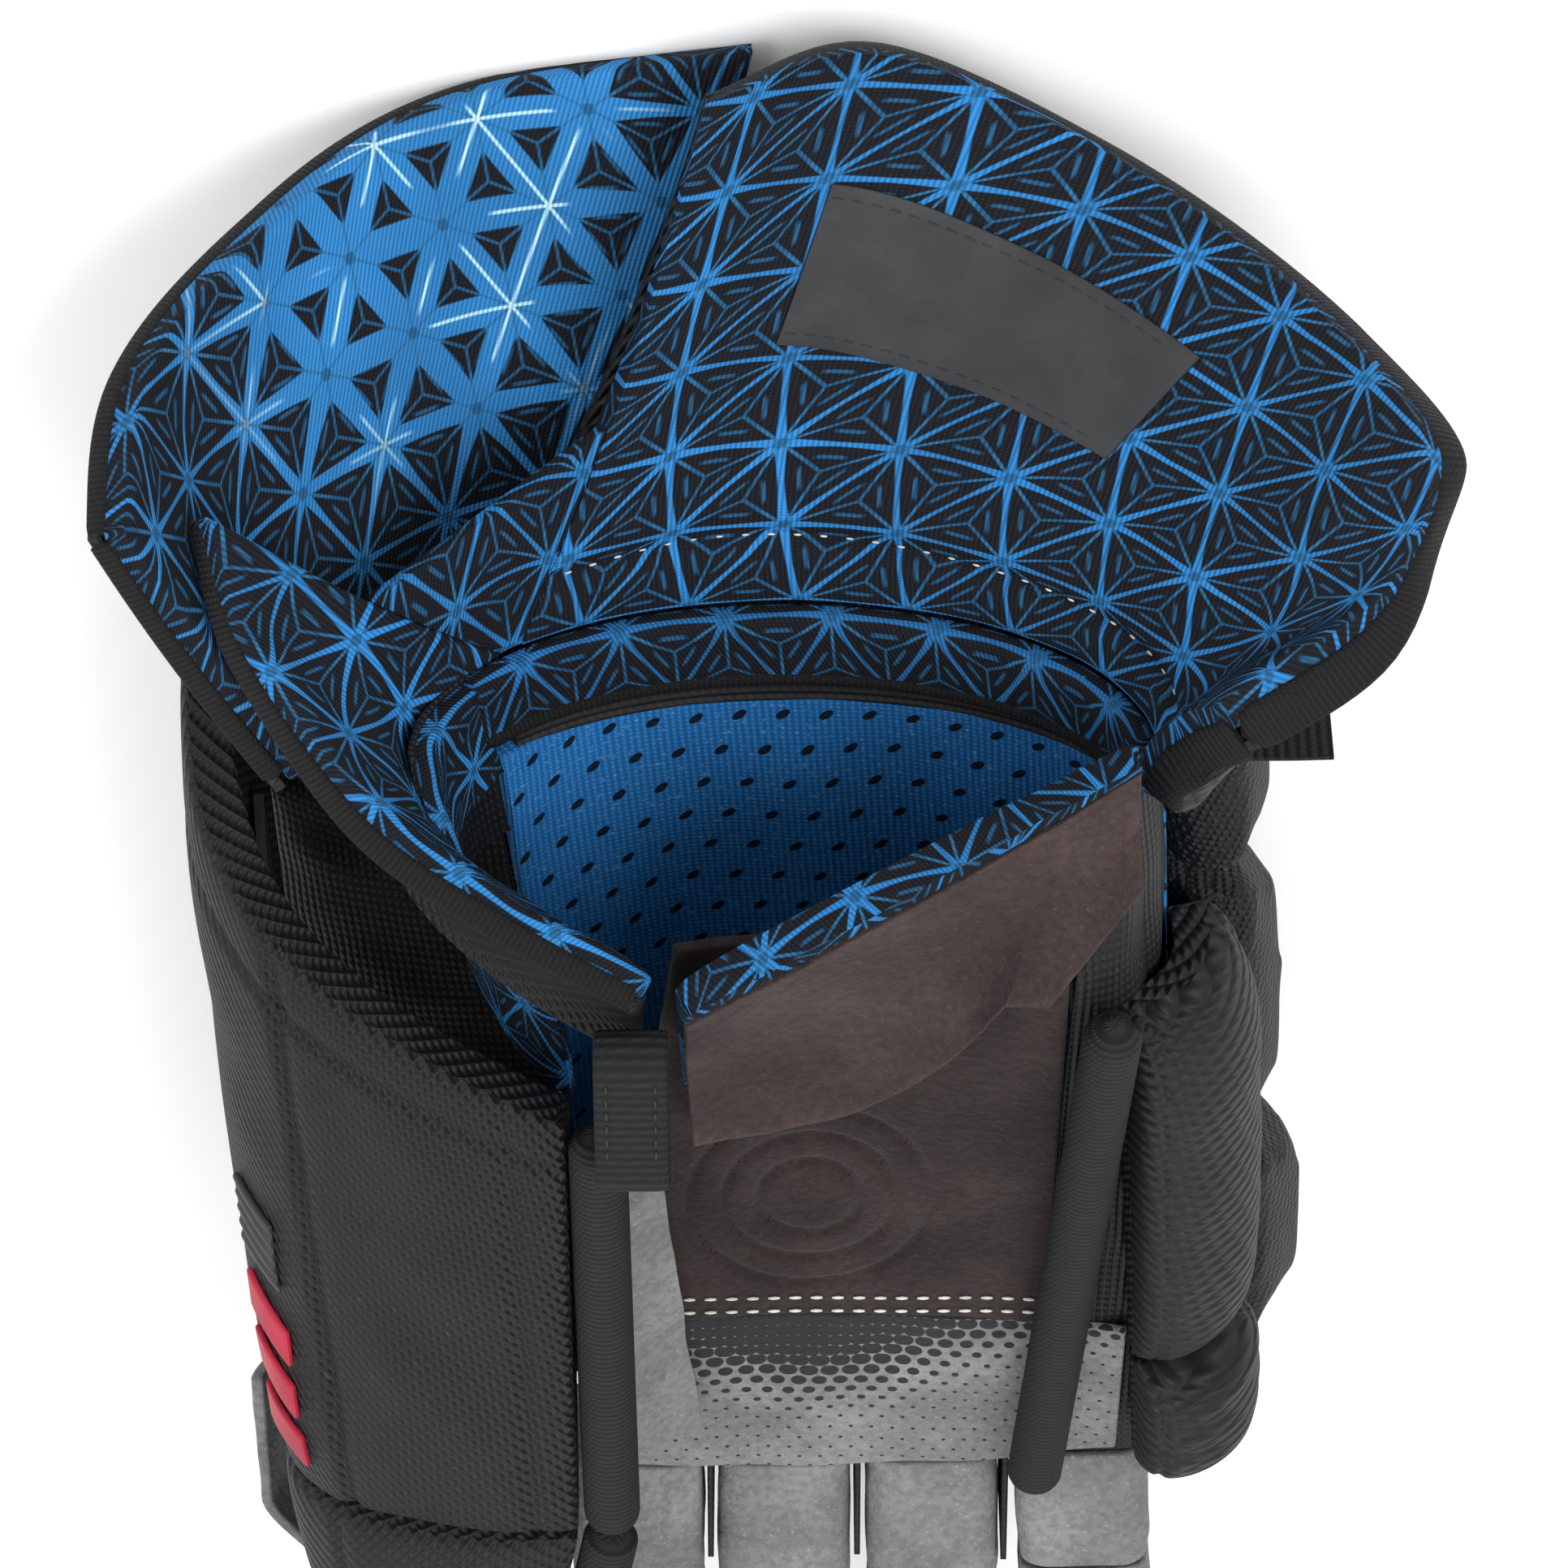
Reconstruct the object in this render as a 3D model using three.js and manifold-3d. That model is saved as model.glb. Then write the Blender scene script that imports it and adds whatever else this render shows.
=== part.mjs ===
// An ice-hockey glove for the right hand, lying on its back with the palm up.
// Millimetres. +Y runs from the cuff to the fingertips, +X to the thumb side and +Z out of the palm.
// The hand part is built on one form, a tube whose section runs from an ellipse at the wrist to a flat
// oval at the knuckles. Every pad, lining and panel of the hand is a patch of that form with its own
// depth. Angles round the form start at the middle of the back and are positive to the thumb side.

import * as THREE from "three";
import { mergeVertices } from "three/addons/utils/BufferGeometryUtils.js";
import Module from "manifold-3d";

const wasm = await Module();
wasm.setup();

// Overall sizes
const WRIST_Y = -95; // the line that the cuff flaps hinge on
const BACK_LENGTH = 162; // wrist line to the end of the knuckle roll
const WRIST_HALF_WIDTH = 54;
const WRIST_BACK_DEPTH = 33;
const WRIST_PALM_DEPTH = 20;
const WRIST_CENTRE_Z = 78;
const KNUCKLE_HALF_WIDTH = 48;
const KNUCKLE_BACK_DEPTH = 27;
const KNUCKLE_PALM_DEPTH = 6;
const KNUCKLE_CENTRE_X = -14;
const KNUCKLE_CENTRE_Z = 57;

// Walls and clearances
const GAP = 0.35; // between two layers that touch
const LAYER_GAP = 0.7; // between the layers of a flap, which is curved both ways
const LINING = 3;
const PLATE = 1.5;
const LEATHER = 2.2;
const ROLL_GAP = 4; // the flex groove between two rolls
const FLOOR_Z = 0; // the glove lies on this plane

// Rolls on the back of the hand: where each starts and ends past the wrist line, and its depth
const ROLLS = [
  { name: "wrist", from: 0, to: 40, depth: 29 },
  { name: "upper", from: 40, to: 110, depth: 30 },
  { name: "knuckle", from: 110, to: BACK_LENGTH, depth: 34 },
];
const ROLL_ULNAR = -80;
const ROLL_RADIAL = 55;
const PLATE_MARGIN = 5; // from a roll's end to the end of the plate inside it
const LINING_START = 17; // past the wrist line, after the wrist elastic
const ELASTIC_START = 2;
const ELASTIC_DEPTH = 0.6;

// Palm
const HEEL_START = -66;
const HEEL_END = 34;
const PALM_END = 80;
const PALM_START_Z = 94;
const PALM_END_Z = 60;
const PALM_MIDDLE_X = -8;
const PALM_HALF_WIDTH = 42;
const HEEL_CUP = 8; // how much higher the palm's sides are than its middle, at the heel
const FINGER_CUP = 1.5; // and at the fingers
const HEEL_LEFT = -42;
const HEEL_RIGHT = [16, 28]; // at the heel and at the seam
const PALM_LEFT = -54.5;
const PALM_RIGHT = 33;
const PALM_SEAM = 0.6;
const PALM_EDGE_CURVE = 0.0028; // how fast the palm's front edge falls back to the sides

// The little finger's side: two pads, deepest at their back edge, and the roll beside the palm
const SIDE_GUARDS = [
  { name: "side_guard_upper", places: [-54, 37] },
  { name: "side_guard_lower", places: [40, 68] },
];
const SIDE_GUARD_PALM = -124;
const SIDE_GUARD_INNER = 2.5;
const SIDE_GUARD_DEPTH = [7, 17]; // at its rim and in its middle
const SIDE_GUARD_FALL = 3; // how much thinner it is at the palm
const SIDE_PIPING_Y = [-58, -30, -2, 26, 52, 74];
const SIDE_PIPING_X = [-49, -41];
const SIDE_PIPING_FOOT_X = -45;

// The panels between the hand and the thumb
const WEB_PALM = 100;
const WEB_PLACES = [14, 66];
const HINGE_START = 19; // past the wrist line
const HINGE_END_Y = 8;
const HINGE_INSET = 12; // from the thumb's hinge line to the panel's outer edge

// Fingers: the y of the knuckle pivot, the splay, and the three segment lengths
const FINGER_PITCH = 24.5;
const FIRST_FINGER_X = 24.5;
const FINGER_WIDTH = 22.4;
const FINGER_HEIGHT = 24;
const FINGER_PAD = 18;
const FINGER_CORNER = 5;
const PAD_TAPER = 0.94; // the pad's outer face to its inner face, across
const KNUCKLE_LEAD = 5; // the first pad starts this far behind its joint
const KNUCKLE_SLANT = 4; // and leans back this far over the knuckle
const TIP_BEND = 4;
const TIP_RISE = 18; // how far the last pad turns up round the fingertip
const TIP_PAD = 7;
const TIP_SLEEVE_CUT = 5; // the last sleeve stops this far short of its pad
const FINGER_CURL = [9, 14, 12];
const FINGERS = [
  { name: "index", y: 79.8, splay: 0, lengths: [29, 26, 28] },
  { name: "middle", y: 80.3, splay: 0, lengths: [31, 26, 29] },
  { name: "ring", y: 79.2, splay: 1, lengths: [29, 26, 28] },
  { name: "little", y: 74.9, splay: 3, lengths: [24, 21, 25] },
];

// Cuff. A station is a place on the rim: an angle round the form and how far the rim has moved
// outwards, backwards and down from the wrist there.
const BACK_FLAP = [
  { angle: 12, out: 0, back: 77, down: 24 },
  { angle: -12, out: 0, back: 83, down: 28 },
  { angle: -45, out: 7, back: 70, down: 32 },
  { angle: -70, out: 27, back: 60, down: 16 },
  { angle: -88, out: 37, back: 54, down: 2 },
  { angle: -105, out: 34, back: 38, down: 1 },
  { angle: -119, out: 14, back: 19, down: 0 },
];
// Where each flap meets the hand: the angles and places of its foot, its lift off the form, and
// how far it bellies out half way up
const BACK_FLAP_EDGE = 46; // where the flap's thumb-side edge meets the wrist line
const BACK_FLAP_FOOT = {
  angles: [BACK_FLAP_EDGE, -112],
  places: [WRIST_Y - 2.5, WRIST_Y - 2.5],
  lift: 0,
  belly: -3,
};
const THUMB_FLAP_FOOT = {
  angles: [22, 92],
  places: [WRIST_Y - 0.2, WRIST_Y - 0.2],
  clearance: 4, // outside the back flap
  belly: 1,
};
const WING_FOOT = { angles: [50, 153], places: [WRIST_Y - 1, -48], lift: 1, belly: -4.6 };
const THUMB_FLAP = [
  { angle: 4, out: 0, back: 74, down: 27 },
  { angle: 40, out: 8, back: 68, down: 31 },
  { angle: 62, out: 15, back: 62, down: 24 },
  { angle: 78, out: 25, back: 52, down: 15 },
  { angle: 94, out: 26, back: 40, down: 8 },
];
const WING = [
  { angle: 84, out: 28, back: 40, down: 4 },
  { angle: 104, out: 24, back: 26, down: 3 },
  { angle: 122, out: 13, back: 2, down: -1 },
  { angle: 138, out: 4, back: -11, down: -2 },
  { angle: 156, out: -3, back: -23, down: -3 },
];
const FLAP_LINER = 5;
const FLAP_PLATE = 1.2;
const FLAP_COVER = 1.9;
const LABEL = 0.8;
const WING_LINER = 3.4;
const WING_COVER = 1.6;
const LABEL_ACROSS = [0.19, 0.46]; // the label's place on the flap, as shares of it
const LABEL_ALONG = [0.5, 0.75];
const TAB_SUEDE = 1.6;
const TAB_LINER = 2.6;
// The tab's two lower corners, from the little finger's side to the thumb's: x, the y of its foot
// and of its top, and how high it may stand
const TAB_X = [-51, 15];
const TAB_FOOT_Y = [-93, -36];
const TAB_TOP_Y = [-109, -67];
const TAB_RISE = [93, 101];
const TAB_LIP = 15; // how far its lower edge bulges towards the palm

// Thumb
const THUMB_PAD = 9;
const THUMB_JOINT_Y = 62;
const THUMB_JOINT_GAP = 1; // each side of the joint
const THUMB_END_Y = 118;
// The four points that bend the guard's outer line, from its outer edge up and over to the palm:
// x and z at the wrist, at the thumb joint and at the tip
const THUMB_BEND = [
  { x: [90, 80, 70], z: [38, 52, 60] },
  { x: [97, 92, 80], z: [92, 84, 84] },
  { x: [80, 66, 62], z: [92, 92, 90] },
  { x: [34, 33, 42], z: [104, 92, 86] },
];
const THUMB_BASE_START = [-103, -38]; // at the outer edge and at the palm
const THUMB_SWING_X = 88;
const THUMB_SWING_Z = 33;
const THUMB_TIP_ROUND = 0.65; // the share of the tip where it starts to close
const THUMB_STALL_END = 6; // the stall stops this far short of the guard's tip
const PIPING_RADIUS = 4.5;
const THUMB_PIPING_Y = [-36, -12, 12, 36, 58];
const THUMB_PIPING_DROP = 4; // its middle lies this far under the guard's edge
const THUMB_GUSSET_START_Y = -22;
const THUMB_GUSSET_FOOT_X = [20, 14];
const EMBLEM = 1.2;
const EMBLEM_ACROSS = [0.33, 0.44]; // the emblems' places on the guard, as shares of it
const EMBLEM_GREY_ALONG = [0.52, 0.64];
const EMBLEM_RED_ALONG = [0.68, 0.96];

// Small fabric pieces
const WEBBING = 1.6;
const LOOP_WIDTH = 11;
const LOOP_LENGTH = 30;
const LOOP_HEIGHT = 9.4;
const LOOP_X = 17;
const LOOP_Y = -49;
const LOOP_Z = 104.5;
const TAG_SIZE = [17, 0.8, 14];
const TAG_X = -72;
const TAG_Z = 70;
const TAG_LEAD = 0.6; // the tag's middle is this far past the wrist line

const KNUCKLE_Y = WRIST_Y + BACK_LENGTH;
const { lerp, clamp, smoothstep, degToRad } = THREE.MathUtils;
const vec = (x, y, z) => new THREE.Vector3(x, y, z);
const at = (depth, u, v) => (typeof depth === "function" ? depth(u, v) : depth);

// ---------------------------------------------------------------- solids

// A box whose points (u, v, w), each 0 to 1, are moved to place(u, v, w).
function mappedBox(nu, nv, nw, place) {
  const box = new THREE.BoxGeometry(1, 1, 1, nu, nv, nw);
  const position = box.attributes.position;
  for (let i = 0; i < position.count; i++) {
    const p = place(position.getX(i) + 0.5, position.getY(i) + 0.5, position.getZ(i) + 0.5);
    position.setXYZ(i, p.x, p.y, p.z);
  }
  return closed(box);
}

// The geometry with shared vertices merged, and turned to face outwards.
function closed(geometry) {
  geometry.deleteAttribute("normal");
  geometry.deleteAttribute("uv");
  const merged = mergeVertices(geometry, 1e-4);
  if (volume(merged) < 0) {
    const index = merged.index.array;
    for (let i = 0; i < index.length; i += 3) [index[i], index[i + 1]] = [index[i + 1], index[i]];
  }
  return merged;
}

function volume(geometry) {
  const at = (i) => new THREE.Vector3().fromBufferAttribute(geometry.attributes.position, i);
  const index = geometry.index.array;
  let sum = 0;
  for (let i = 0; i < index.length; i += 3) {
    sum += at(index[i]).dot(at(index[i + 1]).cross(at(index[i + 2]))) / 6;
  }
  return sum;
}

// The normal of surface(u, v) that points away from centre.
function normalAt(surface, u, v, centre) {
  const step = 1e-3;
  const du = surface(Math.min(u + step, 1), v).sub(surface(Math.max(u - step, 0), v));
  const dv = surface(u, Math.min(v + step, 1)).sub(surface(u, Math.max(v - step, 0)));
  const normal = du.cross(dv).normalize();
  return normal.dot(surface(u, v).sub(centre)) < 0 ? normal.negate() : normal;
}

// A sheet between two depths off surface(u, v), counted away from centre.
function sheet(nu, nv, surface, centre, near, far) {
  return mappedBox(nu, nv, 1, (u, v, w) =>
    surface(u, v).addScaledVector(
      normalAt(surface, u, v, centre),
      lerp(at(near, u, v), at(far, u, v), w),
    ),
  );
}

// A round cord or binding along a smooth curve through the points.
function cord(points, radius, steps) {
  const curve = new THREE.CatmullRomCurve3(points, false, "centripetal");
  const section = new THREE.Shape().absarc(0, 0, radius, 0, 2 * Math.PI);
  return closed(
    new THREE.ExtrudeGeometry(section, { steps, extrudePath: curve, curveSegments: 4, bevelEnabled: false }),
  );
}

const toSolid = (geometry) =>
  new wasm.Manifold(
    new wasm.Mesh({
      numProp: 3,
      vertProperties: new Float32Array(geometry.attributes.position.array),
      triVerts: new Uint32Array(geometry.index.array),
    }),
  );

function fromSolid(solid) {
  const mesh = solid.getMesh();
  return new THREE.BufferGeometry()
    .setAttribute("position", new THREE.BufferAttribute(new Float32Array(mesh.vertProperties), 3))
    .setIndex(new THREE.BufferAttribute(new Uint32Array(mesh.triVerts), 1));
}

// The geometry with everything under the floor plane cut away, which leaves a flat face there.
function restOnFloor(geometry) {
  const size = 1000;
  const below = closed(
    new THREE.BoxGeometry(size, size, size).translate(0, 0, FLOOR_Z - size / 2),
  );
  return fromSolid(toSolid(geometry).subtract(toSolid(below)));
}

// ---------------------------------------------------------------- nodes

const glove = new THREE.Group();
const FINISH = {
  mesh: { color: 0x17171a, roughness: 0.85 },
  softMesh: { color: 0x1d1d20, roughness: 0.95 },
  liner: { color: 0x1c5fa8, roughness: 0.8 },
  lining: { color: 0x1b74c4, roughness: 0.8 },
  suede: { color: 0x8d8d8d, roughness: 1 },
  brownSuede: { color: 0x453a3a, roughness: 1 },
  plastic: { color: 0xdedede, roughness: 0.5 },
  webbing: { color: 0x1b201f, roughness: 0.9 },
  red: { color: 0xb5182f, roughness: 0.6 },
  label: { color: 0x47494b, roughness: 0.7 },
};

function add(parent, name, geometry, finish) {
  const mesh = new THREE.Mesh(
    geometry,
    new THREE.MeshStandardMaterial({ metalness: 0, ...FINISH[finish] }),
  );
  mesh.name = name;
  parent.add(mesh);
  return mesh;
}

// ---------------------------------------------------------------- the hand form

// A point of the form at an angle in degrees, a place along the hand, and a depth outside it.
function form(angle, y, outside = 0) {
  const t = clamp((y - WRIST_Y) / BACK_LENGTH, 0, 1.1);
  const halfWidth = lerp(WRIST_HALF_WIDTH, KNUCKLE_HALF_WIDTH, t);
  const centreX = lerp(0, KNUCKLE_CENTRE_X, t);
  const centreZ = lerp(WRIST_CENTRE_Z, KNUCKLE_CENTRE_Z, t);
  const back = lerp(WRIST_BACK_DEPTH, KNUCKLE_BACK_DEPTH, t);
  const palm = lerp(WRIST_PALM_DEPTH, KNUCKLE_PALM_DEPTH, t);
  const power = 2 / lerp(2, 3, t);
  const around = (degrees) => {
    const s = Math.sin(degToRad(degrees));
    const c = Math.cos(degToRad(degrees));
    const depth = c > 0 ? back : palm;
    return vec(
      centreX + halfWidth * Math.sign(s) * Math.abs(s) ** power,
      y,
      centreZ - depth * Math.sign(c) * Math.abs(c) ** power,
    );
  };
  const tangent = around(angle + 0.5).sub(around(angle - 0.5)).normalize();
  return around(angle).addScaledVector(vec(tangent.z, 0, -tangent.x), outside);
}

// A patch of the form between two angles and two places, from one depth to another.
function handPatch(nu, nv, angles, places, near, far) {
  return mappedBox(nu, nv, 1, (u, v, w) =>
    form(lerp(...angles, u), lerp(...places, v), lerp(at(near, u, v), at(far, u, v), w)),
  );
}

// How full a pad is at (u, v): 1 in the middle and edge at its rim.
const pillow = (u, v, edge, power = 4) =>
  edge + (1 - edge) * Math.sqrt((1 - Math.abs(2 * u - 1) ** power) * (1 - Math.abs(2 * v - 1) ** power));

// ---------------------------------------------------------------- back of the hand

function buildBack() {
  const plateIn = LINING + GAP;
  const rollIn = plateIn + PLATE + GAP;
  const cells = 15;
  const step = (ROLL_RADIAL - ROLL_ULNAR) / cells;
  const around = [ROLL_ULNAR, ROLL_RADIAL];
  for (const roll of ROLLS) {
    const places = [WRIST_Y + roll.from + ROLL_GAP / 2, WRIST_Y + roll.to - ROLL_GAP / 2];
    const full = (u, v) => lerp(rollIn, roll.depth, pillow(u, v, 0.5, 6));
    const pad = handPatch(cells, 6, around, places, rollIn, full);
    add(glove, `backhand_${roll.name}_roll`, restOnFloor(pad), "mesh");
    const wide = [ROLL_ULNAR + step, ROLL_RADIAL - step];
    const inset = [places[0] + PLATE_MARGIN, places[1] - PLATE_MARGIN];
    const plate = handPatch(cells - 2, 1, wide, inset, plateIn, plateIn + PLATE);
    add(glove, `backhand_${roll.name}_plate`, plate, "plastic");
  }
  const liningFrom = WRIST_Y + LINING_START;
  const lining = handPatch(cells, 6, around, [liningFrom, KNUCKLE_Y + 1], 0, LINING);
  add(glove, "back_lining", lining, "lining");
  const band = [ROLL_ULNAR + 2 * step, ROLL_RADIAL - 2 * step];
  const stretch = [WRIST_Y + ELASTIC_START, liningFrom - GAP];
  const elastic = handPatch(cells - 4, 1, band, stretch, ELASTIC_DEPTH, LINING);
  add(glove, "wrist_elastic", elastic, "webbing");
}

// ---------------------------------------------------------------- palm and sides

const palmEdge = (x) => PALM_END - PALM_EDGE_CURVE * x ** 2;

// The outer face of the palm, which drops towards the fingers and is cupped across.
function palmZ(x, y) {
  const t = (y - HEEL_START) / (PALM_END - HEEL_START);
  const cup = lerp(HEEL_CUP, FINGER_CUP, clamp(t, 0, 1));
  const across = (x - PALM_MIDDLE_X) / PALM_HALF_WIDTH;
  return lerp(PALM_START_Z, PALM_END_Z, t) + cup * (across ** 2 - 1);
}

const UNDER_PALM = vec(PALM_MIDDLE_X, 0, 0);

function buildPalm() {
  const heel = (u, v) => {
    const y = lerp(HEEL_START, HEEL_END, v);
    const x = lerp(HEEL_LEFT, lerp(...HEEL_RIGHT, v), u);
    return vec(x, y, palmZ(x, y));
  };
  add(glove, "palm_heel_patch", sheet(8, 7, heel, UNDER_PALM, -LEATHER, 0), "brownSuede");
  const palm = (u, v) => {
    const x = lerp(PALM_LEFT, PALM_RIGHT, u);
    const y = lerp(HEEL_END + PALM_SEAM, palmEdge(x), v);
    return vec(x, y, palmZ(x, y));
  };
  add(glove, "palm_panel", sheet(9, 3, palm, UNDER_PALM, -LEATHER, 0), "suede");
}

function buildUlnarSide() {
  const angles = [ROLL_ULNAR - 0.5, SIDE_GUARD_PALM];
  for (const guard of SIDE_GUARDS) {
    const full = (u, v) => lerp(...SIDE_GUARD_DEPTH, pillow(u, v, 0.2, 3));
    const far = (u, v) => full(u, v) - SIDE_GUARD_FALL * u;
    const pad = handPatch(5, 5, angles, guard.places, SIDE_GUARD_INNER, far);
    add(glove, guard.name, pad, "mesh");
  }
  const [first, last] = [SIDE_PIPING_Y[0], SIDE_PIPING_Y.at(-1)];
  const line = SIDE_PIPING_Y.map((y) => {
    const x = lerp(...SIDE_PIPING_X, (y - first) / (last - first));
    return vec(x, y, palmZ(SIDE_PIPING_FOOT_X, y) + PIPING_RADIUS + 0.3);
  });
  add(glove, "side_piping", cord(line, PIPING_RADIUS, 14), "webbing");
}

function buildRadialSide() {
  // The web between the index finger and the thumb
  const web = handPatch(4, 3, [ROLL_RADIAL + 0.7, WEB_PALM], WEB_PLACES, 0, LINING);
  add(glove, "thumb_web", web, "softMesh");
  // The fabric from the rolls' thumb-side ends out to the thumb's hinge seam
  const hinge = (u, v) => {
    const y = lerp(WRIST_Y + HINGE_START, HINGE_END_Y, v);
    const start = form(ROLL_RADIAL + 1.5, y, 2);
    const end = vec(THUMB_SWING_X - HINGE_INSET, y, THUMB_SWING_Z + 1);
    const bend = vec(lerp(start.x, end.x, 0.75), y, start.z);
    return new THREE.QuadraticBezierCurve3(start, bend, end).getPoint(u);
  };
  add(glove, "thumb_hinge_gusset", sheet(5, 4, hinge, vec(90, 0, 90), -1, 1), "softMesh");
}

// ---------------------------------------------------------------- fingers

// A channel round the palm side of a finger: down one side, across and down the other.
function channelPoint(u, width, height, corner) {
  const side = height - corner;
  const across = width - 2 * corner;
  const arc = (Math.PI / 2) * corner;
  const s = u * (2 * side + 2 * arc + across);
  const half = width / 2;
  if (s < side) return [-half, -height + s];
  if (s < side + arc) {
    const a = (s - side) / corner;
    return [-half + corner - corner * Math.cos(a), -corner + corner * Math.sin(a)];
  }
  if (s < side + arc + across) return [-half + corner + s - side - arc, 0];
  if (s < side + 2 * arc + across) {
    const a = (s - side - arc - across) / corner;
    return [half - corner + corner * Math.sin(a), -corner + corner * Math.cos(a)];
  }
  return [half, -corner - (s - side - 2 * arc - across)];
}

const SEGMENT_GAP = 0.15; // each side of a finger joint
const SKIN_DROP = 0.3; // the leather lies this far under the joint line

function fingerSleeve(length, width) {
  const outer = (u, v) => {
    const [x, z] = channelPoint(u, width, FINGER_HEIGHT - SKIN_DROP, FINGER_CORNER);
    return vec(x, lerp(SEGMENT_GAP, length - SEGMENT_GAP, v), z - SKIN_DROP);
  };
  return sheet(10, 1, outer, vec(0, length / 2, -FINGER_HEIGHT / 2), -LEATHER, 0);
}

function fingerPad(length, width, order) {
  const top = -FINGER_HEIGHT - GAP;
  const back = order === 0 ? KNUCKLE_LEAD : -SEGMENT_GAP;
  const slant = order === 0 ? KNUCKLE_SLANT : 0;
  return mappedBox(4, 4, 1, (u, v, w) => {
    const full = pillow(u, v, 0.5);
    const start = -back - slant * w;
    return vec(
      (u - 0.5) * width * lerp(1, PAD_TAPER, w),
      lerp(start, length - SEGMENT_GAP, v),
      top - w * FINGER_PAD * full,
    );
  });
}

// The last pad also turns up round the fingertip.
function fingertipPad(length, width) {
  const bend = TIP_BEND;
  const top = -FINGER_HEIGHT - GAP;
  const flat = length - SEGMENT_GAP - bend;
  const inner = (u, v) => {
    const s = v * (flat + (Math.PI / 2) * bend + TIP_RISE - bend);
    const x = (u - 0.5) * width;
    if (s < flat) return vec(x, SEGMENT_GAP + s, top);
    const a = (s - flat) / bend;
    if (a < Math.PI / 2) {
      return vec(x, SEGMENT_GAP + flat + bend * Math.sin(a), top + bend - bend * Math.cos(a));
    }
    return vec(x, SEGMENT_GAP + flat + bend, top + bend + bend * (a - Math.PI / 2));
  };
  const far = (u, v) => lerp(FINGER_PAD, TIP_PAD, smoothstep(v, 0.3, 0.8)) * pillow(u, v, 0.5);
  return sheet(4, 8, inner, vec(0, 0, 0), 0.2, far);
}

function buildFinger(finger, order) {
  const x = FIRST_FINGER_X - FINGER_PITCH * order;
  const hand = new THREE.Group();
  hand.position.set(x, finger.y, palmZ(x, finger.y));
  hand.rotation.z = degToRad(finger.splay);
  glove.add(hand);
  let parent = hand;
  finger.lengths.forEach((length, i) => {
    const segment = new THREE.Group();
    segment.name = `${finger.name}_joint_${i + 1}`;
    segment.position.y = i === 0 ? 0 : finger.lengths[i - 1];
    segment.rotation.x = degToRad(FINGER_CURL[i]);
    parent.add(segment);
    parent = segment;
    const last = i === finger.lengths.length - 1;
    const sleeve = fingerSleeve(last ? length - TIP_SLEEVE_CUT : length, FINGER_WIDTH);
    const pad = last ? fingertipPad(length, FINGER_WIDTH) : fingerPad(length, FINGER_WIDTH, i);
    add(segment, `${finger.name}_sleeve_${i + 1}`, sleeve, "suede");
    add(segment, `${finger.name}_pad_${i + 1}`, pad, "mesh");
  });
}

// ---------------------------------------------------------------- thumb

const INSIDE_THUMB = vec(60, 0, 65);
const INSIDE_TIP = vec(56, 90, 70);

// The outer line of the thumb guard at a place along the hand, from the outer edge up and over
// to the palm-side edge.
function guardLine(y) {
  const a = clamp((y - WRIST_Y) / (THUMB_JOINT_Y - WRIST_Y), 0, 1);
  const b = clamp((y - THUMB_JOINT_Y) / (THUMB_END_Y - THUMB_JOINT_Y), 0, 1);
  const mix = ([wrist, joint, end]) => lerp(lerp(wrist, joint, a), end, b);
  return new THREE.CubicBezierCurve3(...THUMB_BEND.map(({ x, z }) => vec(mix(x), y, mix(z))));
}

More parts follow.
